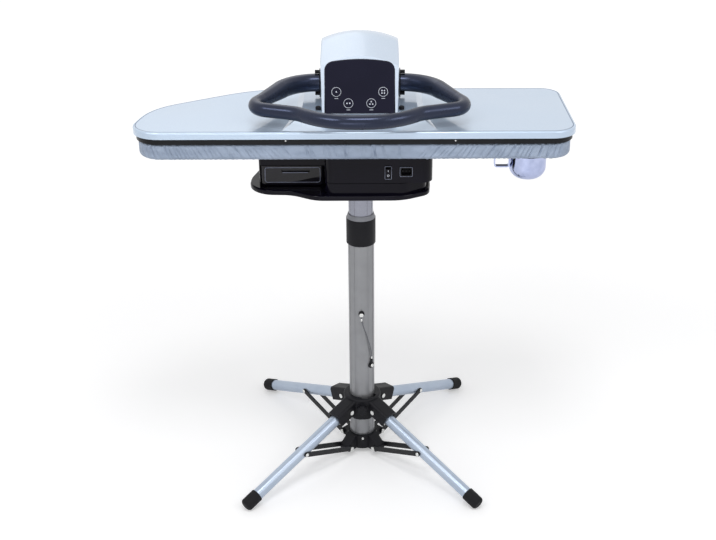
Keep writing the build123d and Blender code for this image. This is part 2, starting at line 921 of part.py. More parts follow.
# Column flange: steel plate that joins the inner column to the tray, with its bolts
with BuildPart() as column_flange:
    with BuildSketch(Plane.XY.offset(housing_bottom)):
        RectangleRounded(flange_size, flange_size, flange_rounding)
    extrude(amount=flange_thickness)
    with BuildSketch(Plane.XY.offset(housing_bottom + flange_thickness)):
        with GridLocations(flange_bolt_spacing, flange_bolt_spacing, 2, 2):
            RegularPolygon(flange_bolt_diameter / 2, 6)
    extrude(amount=flange_bolt_head)
save(column_flange.part, "column_flange")

# Base tray: glossy dish with a soft edge, which the housing drops into
with BuildPart() as base_tray:
    with BuildSketch(Plane.XY.offset(tray_bottom)):
        add(tray_plan.sketch)
    extrude(amount=tray_height)
    fillet(base_tray.edges().group_by(Axis.Z)[0], radius=tray_edge_rounding)
    fillet(base_tray.edges().group_by(Axis.Z)[-1], radius=tray_edge_rounding)
    with BuildSketch(Plane.XY.offset(housing_bottom)):
        add(base_plan.sketch)
        add(tower_plan.sketch)
        offset(amount=slide_gap)
    extrude(amount=tray_height, mode=Mode.SUBTRACT)
    with BuildSketch(Plane.XY.offset(tray_bottom)):
        Circle(inner_radius + running_gap)
    extrude(amount=tray_floor, mode=Mode.SUBTRACT)
save(base_tray.part, "base_tray")

# Base housing: hollow black shell with an open bay for the tank at its left front
bay_back = tank_back + bay_gap
with BuildSketch() as bay_plan:
    with Locations(((housing_left + block_left) / 2, (housing_left_front + bay_back) / 2)):
        Rectangle(
            block_left - housing_left + 2 * housing_wall, bay_back - housing_left_front + 2 * housing_wall
        )
with BuildPart() as base_housing:
    with BuildSketch(Plane.XY.offset(housing_bottom)):
        add(base_plan.sketch)
    extrude(amount=waist_height - housing_bottom)
    with BuildSketch(Plane.XY.offset(waist_height)):
        add(base_plan.sketch)
        offset(amount=-waist_depth)
    extrude(amount=waist_width)
    with BuildSketch(Plane.XY.offset(waist_height + waist_width)):
        add(housing_plan.sketch)
    extrude(amount=housing_top - waist_height - waist_width)
    with BuildSketch(Plane.XY.offset(housing_bottom)):
        add(base_plan.sketch)
        offset(amount=-housing_wall)
        add(bay_plan.sketch, mode=Mode.SUBTRACT)
    extrude(amount=waist_rise + waist_width + housing_wall, mode=Mode.SUBTRACT)
    with BuildSketch(Plane.XY.offset(waist_height + waist_width + housing_wall)):
        add(housing_plan.sketch)
        offset(amount=-housing_wall)
        add(bay_plan.sketch, mode=Mode.SUBTRACT)
    extrude(amount=housing_top - waist_height - waist_width - 2 * housing_wall, mode=Mode.SUBTRACT)
    with BuildSketch(Plane.XY.offset(deck_bottom + housing_wall)):
        add(housing_plan.sketch)
        offset(amount=-housing_wall)
    extrude(amount=deck_height - 2 * housing_wall, mode=Mode.SUBTRACT)
    with BuildSketch(Plane.XY.offset(bay_floor)):
        with Locations(((housing_left + housing_wall + block_left) / 2, (tray_front + bay_back) / 2)):
            Rectangle(block_left - housing_left - housing_wall, bay_back - tray_front)
    extrude(amount=deck_bottom - bay_floor, mode=Mode.SUBTRACT)
    with BuildSketch(Plane.XZ.offset(-bay_back)):
        with Locations(((tank_left + tank_right) / 2, tank_bottom + spout_diameter)):
            Circle(spout_diameter / 2 + part_gap)
    extrude(amount=-2 * housing_wall, mode=Mode.SUBTRACT)
    with BuildSketch(Plane.XZ.offset(-housing_front)):
        with Locations((inlet_x, inlet_height)):
            Rectangle(inlet_body_width + 2 * slide_gap, inlet_body_height + 2 * slide_gap)
        with Locations((switch_x, switch_height)):
            Rectangle(switch_width - switch_frame, switch_tall - switch_frame)
    extrude(amount=-2 * housing_wall, mode=Mode.SUBTRACT)
save(base_housing.part, "base_housing")

# Mains inlet: flanged three-blade appliance inlet
with BuildPart() as mains_inlet:
    with BuildSketch(Plane.XZ.offset(-housing_front)):
        with Locations((inlet_x, inlet_height)):
            RectangleRounded(inlet_width, inlet_flange_height, 2)
    extrude(amount=inlet_flange)
    with BuildSketch(Plane.XZ.offset(-housing_front)):
        with Locations((inlet_x, inlet_height)):
            Rectangle(inlet_body_width, inlet_body_height)
    extrude(amount=-inlet_body_depth)
    with BuildSketch(Plane.XZ.offset(-housing_front + inlet_flange)):
        with Locations((inlet_x, inlet_height)):
            RectangleRounded(inlet_body_width - 2 * inlet_wall, inlet_body_height - 2 * inlet_wall, 4)
    extrude(amount=-inlet_cavity_depth - inlet_flange, mode=Mode.SUBTRACT)
    with BuildSketch(Plane.XZ.offset(-housing_front - inlet_cavity_depth)):
        with Locations((inlet_x, inlet_height)):
            with GridLocations(inlet_blade_spacing, 1, 3, 1):
                Rectangle(inlet_blade_width, inlet_blade_height)
    extrude(amount=inlet_blade_length)
save(mains_inlet.part, "mains_inlet")

# Switch bezel: frame and body that hold the rocker
window_width = switch_width - 2 * switch_frame
window_tall = 2 * (rocker_radius + slide_gap)
with BuildPart() as switch_bezel:
    with BuildSketch(Plane.XZ.offset(-housing_front)):
        with Locations((switch_x, switch_height)):
            RectangleRounded(switch_width, switch_tall, 1.5)
    extrude(amount=switch_flange)
    with BuildSketch(Plane.XZ.offset(-housing_front)):
        with Locations((switch_x, switch_height)):
            Rectangle(switch_width - switch_frame - 2 * rest_gap, switch_tall - switch_frame - 2 * rest_gap)
    extrude(amount=-switch_body_depth)
    with BuildSketch(Plane.XZ.offset(-housing_front + switch_flange)):
        with Locations((switch_x, switch_height)):
            Rectangle(window_width, window_tall)
    extrude(amount=-switch_body_depth, mode=Mode.SUBTRACT)
    with BuildSketch(Plane.YZ.offset(switch_x)):
        with Locations((housing_front + rocker_pivot_depth, switch_height)):
            Circle(rocker_axle_diameter / 2 + running_gap)
    extrude(amount=switch_width / 2 - switch_flange / 2, both=True, mode=Mode.SUBTRACT)
save(switch_bezel.part, "switch_bezel")

# Power rocker: shallow V that tips about a pivot inside the bezel
rocker_plane = Plane(
    origin=(switch_x, housing_front + rocker_pivot_depth, switch_height),
    x_dir=(0, math.cos(math.radians(rocker_tilt)), math.sin(math.radians(rocker_tilt))),
    z_dir=(1, 0, 0),
)
rocker_tip_height = math.sqrt(rocker_radius**2 - rocker_tip_depth**2)
with BuildPart() as power_rocker:
    with BuildSketch(rocker_plane):
        with BuildLine():
            Polyline(
                (-rocker_tip_depth, rocker_tip_height),
                (-rocker_valley_depth, 0),
                (-rocker_tip_depth, -rocker_tip_height),
                (rocker_back_depth, -rocker_tip_height + rocker_back_depth),
                (rocker_back_depth, rocker_tip_height - rocker_back_depth),
                close=True,
            )
        make_face()
    extrude(amount=window_width / 2 - slide_gap, both=True)
    with BuildSketch(Plane.YZ.offset(switch_x)):
        with Locations((housing_front + rocker_pivot_depth, switch_height)):
            Circle(rocker_axle_diameter / 2)
    extrude(amount=window_width / 2 + rocker_axle_reach, both=True)
save(power_rocker.part, "power_rocker")

# Water tank: smoky clear box with a finger grip, a filler hole and a spout at its back
tank_x = (tank_left + tank_right) / 2
tank_y = (housing_left_front + tank_back) / 2
tank_width = tank_right - tank_left
tank_cap_y = housing_left_front + tank_cap_diameter
spout_height = tank_bottom + spout_diameter
grip_z = tank_top - grip_below_top
with BuildPart() as water_tank:
    with BuildSketch(Plane.XY.offset(tank_bottom)):
        with Locations((tank_x, tank_y)):
            Rectangle(tank_width, tank_depth)
    extrude(amount=tank_top - tank_bottom)
    fillet(water_tank.edges().filter_by(Axis.Z), radius=tank_rounding)
    fillet(water_tank.edges().group_by(Axis.Z)[0], radius=tank_rounding / 2)
    with BuildSketch(Plane.XY.offset(tank_bottom + tank_wall)):
        with Locations((tank_x, tank_y)):
            RectangleRounded(tank_width - 2 * tank_wall, tank_depth - 2 * tank_wall, tank_rounding - tank_wall)
    extrude(amount=tank_top - tank_bottom - 2 * tank_wall - tank_cap_flange, mode=Mode.SUBTRACT)
    with BuildSketch(Plane.XZ.offset(-housing_left_front - tank_wall)):
        with Locations((grip_x, grip_z)):
            Rectangle(grip_width + 2 * tank_wall, grip_height + 2 * tank_wall)
    extrude(amount=-grip_depth)
    with BuildSketch(Plane.XZ.offset(-housing_left_front)):
        with Locations((grip_x, grip_z)):
            RectangleRounded(grip_width, grip_height, grip_height / 3)
    extrude(amount=-grip_depth, mode=Mode.SUBTRACT)
    with BuildSketch(Plane.XZ.offset(-tank_back)):
        with Locations((tank_x, spout_height)):
            Circle(spout_diameter / 2)
    extrude(amount=-spout_length)
    with BuildSketch(Plane.XZ.offset(-tank_back + 2 * tank_wall)):
        with Locations((tank_x, spout_height)):
            Circle(spout_diameter / 2 - tank_wall)
    extrude(amount=-spout_length - 3 * tank_wall, mode=Mode.SUBTRACT)
    with BuildSketch(Plane.XY.offset(tank_top - tank_cap_flange)):
        with Locations((tank_x, tank_cap_y)):
            Circle(tank_cap_diameter / 2 + slide_gap)
    extrude(amount=tank_cap_flange, mode=Mode.SUBTRACT)
    with BuildSketch(Plane.XY.offset(tank_top)):
        with Locations((tank_x, tank_cap_y)):
            Circle(tank_cap_plug / 2 + slide_gap)
    extrude(amount=-2 * tank_cap_flange - 2 * tank_wall, mode=Mode.SUBTRACT)
save(water_tank.part, "water_tank")

# Tank cap: push-in plug in the top of the tank
with BuildPart() as tank_cap:
    with BuildSketch(Plane.XY.offset(tank_top - tank_cap_flange)):
        with Locations((tank_x, tank_cap_y)):
            Circle(tank_cap_diameter / 2)
    extrude(amount=tank_cap_flange)
    with BuildSketch(Plane.XY.offset(tank_top - tank_cap_flange)):
        with Locations((tank_x, tank_cap_y)):
            Circle(tank_cap_plug / 2)
    extrude(amount=-tank_cap_flange - tank_wall)
save(tank_cap.part, "tank_cap")

# Steam boiler: closed cylinder on two feet
with BuildPart() as steam_boiler:
    with BuildSketch(Plane.XZ.offset(-boiler_y - boiler_length / 2)):
        with Locations((boiler_x, boiler_height)):
            Circle(boiler_diameter / 2)
    extrude(amount=boiler_length)
    fillet(steam_boiler.edges(), radius=boiler_rounding)
    foot_reach = boiler_length / 2 - 2 * boiler_foot_length
    with BuildSketch(Plane.XY.offset(housing_bottom)):
        with Locations((boiler_x, boiler_y - foot_reach), (boiler_x, boiler_y + foot_reach)):
            Rectangle(boiler_foot_width, boiler_foot_length)
    extrude(amount=boiler_height - housing_bottom - boiler_diameter / 4)
save(steam_boiler.part, "steam_boiler")

# Water pump: square body with its motor on top
with BuildPart() as water_pump:
    with BuildSketch(Plane.XY.offset(housing_bottom)):
        with Locations((pump_x, pump_y)):
            RectangleRounded(pump_width, pump_length, 4)
    extrude(amount=pump_height)
    with BuildSketch(Plane.XY.offset(housing_bottom + pump_height)):
        with Locations((pump_x, pump_y)):
            Circle(pump_motor_diameter / 2)
    extrude(amount=pump_motor_height)
save(water_pump.part, "water_pump")

# Circuit board: upright board with two relays, standing on the tray
with BuildPart() as circuit_board:
    with BuildSketch(Plane.XY.offset(housing_bottom)):
        with Locations((circuit_x, 0)):
            Rectangle(circuit_thickness, circuit_length)
    extrude(amount=circuit_height)
    with BuildSketch(Plane.YZ.offset(circuit_x)):
        with Locations((0, housing_bottom + circuit_height / 2)):
            with GridLocations(2 * circuit_relay_size, 1, 2, 1):
                Rectangle(circuit_relay_size, circuit_relay_size)
    extrude(amount=circuit_relay_size / 3)
save(circuit_board.part, "circuit_board")


# Plan of the head plate: straight front, tapered nose at the left
with BuildSketch() as plate_plan:
    with BuildLine():
        front_edge_end = (plate_right - plate_front_corner, plate_front)
        side_start = (plate_right, plate_front + plate_front_corner)
        side_end = (plate_right, plate_back - plate_back_corner)
        back_start = (plate_right - plate_back_corner, plate_back)
        TangentArc(front_edge_end, side_start, tangent=(1, 0))
        Line(side_start, side_end)
        TangentArc(side_end, back_start, tangent=(0, 1))
        taper = Line(back_start, (plate_taper_x, plate_back))
        for taper_point in plate_taper_points:
            taper = TangentArc(taper @ 1, taper_point, tangent=taper % 1)
        nose_heading = tuple(taper % 1)
        nose_drop = (taper @ 1).Y - plate_front
        nose_radius = nose_drop / (1 - nose_heading[0])
        nose_end = ((taper @ 1).X - nose_radius * nose_heading[1], plate_front)
        TangentArc(taper @ 1, nose_end, tangent=nose_heading)
        Line(nose_end, front_edge_end)
    make_face()


# Board pan: steel tray under the pad, standing on the housing by a riser
with BuildPart() as board_pan:
    with BuildSketch(Plane.XY.offset(pan_bottom)):
        add(plate_plan.sketch)
        offset(amount=-board_inset - pan_inset)
    extrude(amount=pan_thickness)
    with BuildSketch(Plane.XY.offset(housing_top)):
        Rectangle(riser_length, riser_width)
    extrude(amount=pan_bottom - housing_top)
save(board_pan.part, "board_pan")

def cushion(inset, bottom, top, crown, draw):
    """Solid of the board's outline with a rounded crown and an edge drawn in below."""
    with BuildPart() as body:
        with BuildSketch(Plane.XY.offset(bottom)):
            add(plate_plan.sketch)
            offset(amount=-inset)
        extrude(amount=top - bottom)
        fillet(body.edges().group_by(Axis.Z)[-1], radius=crown)
        fillet(body.edges().group_by(Axis.Z)[0], radius=draw)
    return body.part


# Board pad: felt pad with a rounded crown
board_pad = cushion(
    board_inset + cover_skin + soft_gap, pad_bottom, cover_top - cover_skin - soft_gap, pad_crown, pad_draw
)
save(board_pad, "board_pad")

# Board cover: cloth drawn in under the pan all round, open in the middle below
cover_outside = cushion(board_inset, cover_bottom, cover_top, cover_crown, cover_draw)
cover_inside = cushion(
    board_inset + cover_skin,
    cover_bottom + cover_skin,
    cover_top - cover_skin,
    cover_crown - cover_skin,
    cover_draw - cover_skin,
)
with BuildPart() as board_cover:
    add(cover_outside)
    add(cover_inside, mode=Mode.SUBTRACT)
    with BuildSketch(Plane.XY.offset(cover_bottom)):
        add(plate_plan.sketch)
        offset(amount=-board_inset - hem_width)
    extrude(amount=cover_draw, mode=Mode.SUBTRACT)
save(board_cover.part, "board_cover")

# Heating shoe: cast pressing plate with a rim and bosses that carry it under the head cover
shoe_floor = shoe_bottom + shoe_plate
with BuildPart() as heating_shoe:
    with BuildSketch(Plane.XY.offset(shoe_bottom)):
        add(plate_plan.sketch)
        offset(amount=-shoe_inset)
    extrude(amount=shoe_thickness)
    chamfer(heating_shoe.edges().group_by(Axis.Z)[0], length=1)
    with BuildSketch(Plane.XY.offset(shoe_floor)):
        add(plate_plan.sketch)
        offset(amount=-shoe_inset - shoe_rim)
    extrude(amount=shoe_thickness, mode=Mode.SUBTRACT)
    with BuildSketch(Plane.XY.offset(shoe_floor)):
        with GridLocations(shoe_boss_spacing, 2 * shoe_boss_y, 4, 2):
            Circle(shoe_boss_diameter / 2)
    extrude(amount=plate_top - plate_skin - shoe_floor)
save(heating_shoe.part, "heating_shoe")

# Heating element: bent tube that lies on top of the shoe
with BuildPart() as heating_element:
    with BuildLine(Plane.XY.offset(shoe_floor + element_diameter / 2)) as element_path:
        FilletPolyline(
            (-element_reach, -element_pitch),
            (element_reach, -element_pitch),
            (element_reach, element_pitch),
            (-element_reach, element_pitch),
            radius=element_pitch / 2,
        )
    with BuildSketch(Plane(origin=element_path.line @ 0, z_dir=element_path.line % 0)):
        Circle(element_diameter / 2)
    sweep(path=element_path.line)
save(heating_element.part, "heating_element")

# Head cover: silver shell with a raised saddle under the arm
with BuildPart() as head_cover:
    with BuildSketch(Plane.XY.offset(rim_bottom)):
        add(plate_plan.sketch)
    extrude(amount=plate_rim_height)
    fillet(head_cover.edges().group_by(Axis.Z)[-1], radius=plate_edge_rounding)
    with BuildSketch(Plane.XY.offset(rim_bottom)):
        add(plate_plan.sketch)
        offset(amount=-plate_skin)
    extrude(amount=plate_rim_height - plate_skin, mode=Mode.SUBTRACT)
    with BuildSketch(Plane.XY.offset(plate_top - plate_skin / 2)):
        with BuildLine():
            Polyline(
                (-saddle_half_width, saddle_front),
                (saddle_half_width, saddle_front),
                (saddle_waist_half_width, saddle_waist),
                (saddle_waist_half_width, saddle_back),
                (-saddle_waist_half_width, saddle_back),
                (-saddle_waist_half_width, saddle_waist),
                close=True,
            )
        make_face()
    with BuildSketch(Plane.XY.offset(saddle_top)):
        with BuildLine():
            Polyline(
                (-saddle_top_half_width, saddle_crest_front),
                (saddle_top_half_width, saddle_crest_front),
                (saddle_top_half_width, saddle_waist + saddle_slope),
                (saddle_top_half_width, saddle_back - saddle_slope),
                (-saddle_top_half_width, saddle_back - saddle_slope),
                (-saddle_top_half_width, saddle_waist + saddle_slope),
                close=True,
            )
        make_face()
    loft(ruled=True)
save(head_cover.part, "head_cover")

# Hinge brackets: two steel uprights behind the board that carry the shaft
with BuildPart() as hinge_brackets:
    for side in (1, -1):
        with BuildSketch(Plane.YZ.offset(side * bracket_x - bracket_thickness / 2)):
            with BuildLine():
                Polyline(
                    (bracket_front, housing_bottom),
                    (hinge_y + hinge_boss_radius, housing_bottom),
                    (hinge_y + hinge_boss_radius, hinge_z),
                    (hinge_y - hinge_boss_radius, hinge_z),
                    (hinge_y - hinge_boss_radius, tower_step),
                    (bracket_front, bracket_step),
                    close=True,
                )
            make_face()
            with Locations((hinge_y, hinge_z)):
                Circle(hinge_boss_radius)
                Circle(shaft_diameter / 2 + running_gap, mode=Mode.SUBTRACT)
        extrude(amount=bracket_thickness)
save(hinge_brackets.part, "hinge_brackets")

# Hinge shaft: steel rod through both brackets
shaft_half = bracket_x + bracket_thickness / 2 + shaft_overhang
with BuildPart() as hinge_shaft:
    with BuildSketch(Plane.YZ):
        with Locations((hinge_y, hinge_z)):
            Circle(shaft_diameter / 2)
    extrude(amount=shaft_half, both=True)
    chamfer(hinge_shaft.edges().group_by(Axis.X)[0] + hinge_shaft.edges().group_by(Axis.X)[-1], length=1)
save(hinge_shaft.part, "hinge_shaft")

# Rear cover: black shell of the tower behind the board, slotted for the brackets
with BuildPart() as rear_cover:
    with BuildSketch(Plane.YZ.offset(-tower_half_width)):
        with BuildLine():
            Polyline(
                (tower_front, housing_bottom),
                (tower_back, housing_bottom),
                (tower_back, tower_top),
                (plate_back + housing_wall, tower_top),
                (plate_back + housing_wall, tower_step),
                (tower_front, tower_step),
                close=True,
            )
        make_face()
    extrude(amount=2 * tower_half_width)
    fillet(rear_cover.edges().filter_by(Axis.Z).group_by(Axis.Y)[-1], radius=tower_rounding)
    with BuildSketch(Plane.YZ.offset(-tower_half_width + housing_wall)):
        with BuildLine():
            Polyline(
                (tower_front, housing_bottom),
                (tower_back - housing_wall, housing_bottom),
                (tower_back - housing_wall, tower_top - housing_wall),
                (plate_back + 2 * housing_wall, tower_top - housing_wall),
                (plate_back + 2 * housing_wall, tower_step - housing_wall),
                (tower_front, tower_step - housing_wall),
                close=True,
            )
        make_face()
    extrude(amount=2 * (tower_half_width - housing_wall), mode=Mode.SUBTRACT)
    with BuildSketch(Plane.XY.offset(tower_step)):
        with Locations((bracket_x, hinge_y), (-bracket_x, hinge_y)):
            Rectangle(bracket_thickness + 2 * part_gap, 2 * (hinge_boss_radius + part_gap))
    extrude(amount=tower_top, mode=Mode.SUBTRACT)
save(rear_cover.part, "rear_cover")

# Hinge bushes: spacer rings on the shaft between the brackets and the arm frame
with BuildPart() as hinge_bushes:
    bush_start = frame_plate_x + frame_plate_thickness / 2 + rest_gap
    bush_end = bracket_x - bracket_thickness / 2 - rest_gap
    for side in (1, -1):
        with BuildSketch(Plane.YZ.offset(side * bush_start)):
            with Locations((hinge_y, hinge_z)):
                Circle(hinge_bush_diameter / 2)
                Circle(shaft_diameter / 2 + running_gap, mode=Mode.SUBTRACT)
        extrude(amount=side * (bush_end - bush_start))
save(hinge_bushes.part, "hinge_bushes")

# Arm frame: two steel side plates on a base plate, hinged on the shaft
with BuildPart() as arm_frame:
    for side in (1, -1):
        with BuildSketch(Plane.YZ.offset(side * frame_plate_x - frame_plate_thickness / 2)):
            with BuildLine():
                Polyline(
                    (frame_front, saddle_top),
                    (saddle_back, saddle_top),
                    (hinge_y - hinge_boss_radius, hinge_z + hinge_boss_radius),
                    (hinge_y - hinge_boss_radius, hinge_z),
                    (hinge_y + hinge_boss_radius, hinge_z),
                    (hinge_y - hinge_boss_radius / 2, barrel_z - hinge_boss_radius / 2),
                    (hinge_y - 2 * hinge_boss_radius, frame_crest_z - hinge_boss_radius),
                    (frame_crest_y, frame_crest_z),
                    (frame_front + 2 * hinge_boss_radius, frame_crest_z - hinge_boss_radius),
                    close=True,
                )
            make_face()
            with Locations((hinge_y, hinge_z)):
                Circle(hinge_boss_radius)
                Circle(shaft_diameter / 2 + running_gap, mode=Mode.SUBTRACT)
        extrude(amount=frame_plate_thickness)
    with BuildSketch(Plane.XY.offset(saddle_top)):
        with Locations((0, (frame_front + saddle_back - saddle_slope) / 2)):
            Rectangle(2 * frame_plate_x, saddle_back - saddle_slope - frame_front)
    extrude(amount=frame_base_thickness)
save(arm_frame.part, "arm_frame")

panel_normal = Vector(0, -math.sin(math.radians(panel_angle)), math.cos(math.radians(panel_angle)))
panel_plane = Plane(origin=(0, panel_foot_y, panel_foot_z), x_dir=(1, 0, 0), z_dir=panel_normal)


def meridian(shrink, rounding):
    """Half section of the crowned barrel."""
    half = arm_half_width - shrink
    edge = barrel_radius - barrel_crown - shrink
    with BuildSketch() as section:
        with BuildLine():
            Line((-half, 0), (-half, edge))
            ThreePointArc((-half, edge), (0, barrel_radius - shrink), (half, edge))
            Line((half, edge), (half, 0))
            Line((half, 0), (-half, 0))
        make_face()
        fillet(section.vertices().group_by(Axis.Y)[-1], radius=rounding)
    return section.sketch


def arm_body(shrink, rounding, bottom):
    """Solid of the arm casing: barrel, its straight run to the panel, and the cut of the panel."""
    run_out = math.radians(barrel_run_out_angle)
    across = Plane(origin=(0, barrel_y, barrel_z), x_dir=(1, 0, 0), z_dir=(0, -1, 0))
    tilted = Plane(
        origin=(0, barrel_y, barrel_z), x_dir=(1, 0, 0), z_dir=(0, -math.cos(run_out), -math.sin(run_out))
    )
    with BuildPart() as body:
        with BuildSketch(across):
            add(meridian(shrink, rounding))
        revolve(axis=Axis((0, barrel_y, barrel_z), (1, 0, 0)), revolution_arc=360)
        with BuildSketch(tilted):
            add(meridian(shrink, rounding))
        extrude(amount=barrel_run_out)
        with BuildSketch(panel_plane.offset(-shrink)):
            Rectangle(4 * barrel_radius, 6 * barrel_radius)
        extrude(amount=2 * barrel_radius, mode=Mode.SUBTRACT)
        with BuildSketch(Plane.XY.offset(bottom)):
            with Locations((0, barrel_y)):
                Rectangle(4 * barrel_radius, 6 * barrel_radius)
        extrude(amount=-2 * barrel_radius, mode=Mode.SUBTRACT)
        with BuildSketch(Plane.XY.offset(bottom)):
            with BuildLine():
                Polyline(
                    (-arm_front_half_width + shrink, arm_taper_front),
                    (arm_front_half_width - shrink, arm_taper_front),
                    (arm_half_width - shrink, arm_taper_back),
                    (arm_half_width - shrink, barrel_y + barrel_radius),
                    (-arm_half_width + shrink, barrel_y + barrel_radius),
                    (-arm_half_width + shrink, arm_taper_back),
                    close=True,
                )
            make_face()
        extrude(amount=2 * barrel_radius, mode=Mode.INTERSECT)
    return body.part


# Outline of the control panel with its arched top
with BuildSketch() as panel_plan:
    with BuildLine():
        Line((-panel_half_width, panel_start), (panel_half_width, panel_start))
        Line((panel_half_width, panel_start), (panel_half_width, panel_side_length))
        ThreePointArc(
            (panel_half_width, panel_side_length),
            (0, panel_top_length),
            (-panel_half_width, panel_side_length),
        )
        Line((-panel_half_width, panel_side_length), (-panel_half_width, panel_start))
    make_face()
    fillet(panel_plan.vertices().group_by(Axis.Y)[-1], radius=panel_corner)


key_places = {
    "key_outer_left": (-key_outer_x, key_outer_along),
    "key_inner_left": (-key_inner_x, key_inner_along),
    "key_inner_right": (key_inner_x, key_inner_along),
    "key_outer_right": (key_outer_x, key_outer_along),
}

# Arm casing: silver shell with cheeks that reach down over the hinge
casing_outside = arm_body(0, arm_edge_rounding, saddle_top)
casing_inside = arm_body(arm_wall, arm_edge_rounding - arm_wall, rim_bottom)
with BuildPart() as arm_casing:
    add(casing_outside)
    for side in (1, -1):
        with BuildSketch(Plane.YZ.offset(side * arm_half_width)):
            with Locations((hinge_y, hinge_z)):
                Circle(cheek_radius)
            with BuildLine():
                Polyline(
                    (cheek_front, hinge_z),
                    (cheek_front, cheek_top_z),
                    (cheek_top_y, cheek_top_z),
                    (hinge_y + cheek_radius, hinge_z),
                    close=True,
                )
            make_face()
        extrude(amount=-side * arm_wall)
    add(casing_inside, mode=Mode.SUBTRACT)
    with BuildSketch(panel_plane.offset(panel_proud)):
        add(panel_plan.sketch)
        offset(amount=rest_gap)
    extrude(amount=-panel_thickness - panel_proud, mode=Mode.SUBTRACT)
save(arm_casing.part, "arm_casing")

# Control panel: glossy black slab with four round key holes
with BuildPart() as control_panel:
    with BuildSketch(panel_plane.offset(panel_proud - panel_thickness)):
        add(panel_plan.sketch)
    extrude(amount=panel_thickness)
    chamfer(
        control_panel.faces().sort_by(Axis((0, 0, 0), panel_normal))[-1].edges().sort_by(Axis.Z)[-3:],
        length=panel_bevel,
        length2=panel_bevel,
    )
    with BuildSketch(panel_plane.offset(panel_proud)):
        with Locations(*key_places.values()):
            Circle(key_diameter / 2 + key_gap)
    extrude(amount=-panel_thickness, mode=Mode.SUBTRACT)
save(control_panel.part, "control_panel")

# Keys: four round push keys that each travel into the panel
for key_name, key_place in key_places.items():
    with BuildPart() as key:
        with BuildSketch(panel_plane.offset(panel_proud + key_proud)):
            with Locations(key_place):
                Circle(key_diameter / 2)
        extrude(amount=-panel_thickness - key_proud + key_travel + slide_gap)
    save(key.part, key_name)

# Arm feet: two dark studs beside the front of the casing
with BuildPart() as arm_feet:
    with BuildSketch(Plane.XY.offset(saddle_top)):
        with Locations((arm_foot_x, arm_foot_y), (-arm_foot_x, arm_foot_y)):
            Circle(arm_foot_diameter / 2)
    extrude(amount=arm_foot_height)
    fillet(arm_feet.edges().group_by(Axis.Z)[-1], radius=1.5)
save(arm_feet.part, "arm_feet")

# Handle brackets: plates on the sides of the casing, with locating pegs above and below each root
with BuildPart() as handle_brackets:
    for side in (1, -1):
        with BuildSketch(Plane.YZ.offset(side * arm_half_width)):
            with Locations((handle_root_y, handle_root_z)):
                RectangleRounded(root_plate_length, root_plate_height, root_plate_rounding)
        extrude(amount=side * root_plate_thickness)
        with BuildSketch(Plane.YZ.offset(side * arm_half_width)):
            with Locations(
                (handle_root_y, handle_root_z + peg_offset), (handle_root_y, handle_root_z - peg_offset)
            ):
                Circle(peg_diameter / 2)
        extrude(amount=side * peg_length)
save(handle_brackets.part, "handle_brackets")

# Handle: round bow with thick limbs that taper towards the grip
handle_x = arm_half_width + root_plate_thickness
handle_tilt = math.radians(handle_drop_angle)
handle_plane = Plane(
    origin=(0, handle_root_y, handle_root_z),
    x_dir=(1, 0, 0),
    z_dir=(0, -math.sin(handle_tilt), math.cos(handle_tilt)),
)


def along_limb(share):
    """Point at a share of the right limb's length, in the plane of the handle."""
    return tuple(near + share * (far - near) for near, far in zip(handle_shoulder, handle_corner))


root_points = [(handle_x, 0), handle_shoulder, along_limb(handle_taper[0])]
half_points = [along_limb(handle_taper[1]), handle_corner, handle_elbow, handle_grip]
grip_points = [(-x, y) for x, y in half_points] + [(x, y) for x, y in reversed(half_points)]
with BuildPart() as handle:
    with BuildLine(handle_plane) as grip_path:
        FilletPolyline(*grip_points, radius=list(handle_radii) + list(reversed(handle_radii)))
    with BuildSketch(Plane(origin=grip_path.line @ 0, z_dir=grip_path.line % 0)):
        Circle(handle_diameter / 2)
    sweep(path=grip_path.line)
    for side, end in ((-1, 0), (1, 1)):
        with BuildLine(handle_plane) as root_path:
            FilletPolyline(*[(side * x, y) for x, y in root_points], radius=handle_shoulder_radius)
        with BuildSketch(Plane(origin=root_path.line @ 0, z_dir=root_path.line % 0)):
            Circle(handle_limb_diameter / 2)
        sweep(path=root_path.line)
        with BuildSketch(Plane(origin=root_path.line @ 1, z_dir=root_path.line % 1)):
            Circle(handle_limb_diameter / 2)
        with BuildSketch(Plane(origin=grip_path.line @ end, z_dir=root_path.line % 1)):
            Circle(handle_diameter / 2)
        loft()
save(handle.part, "handle")

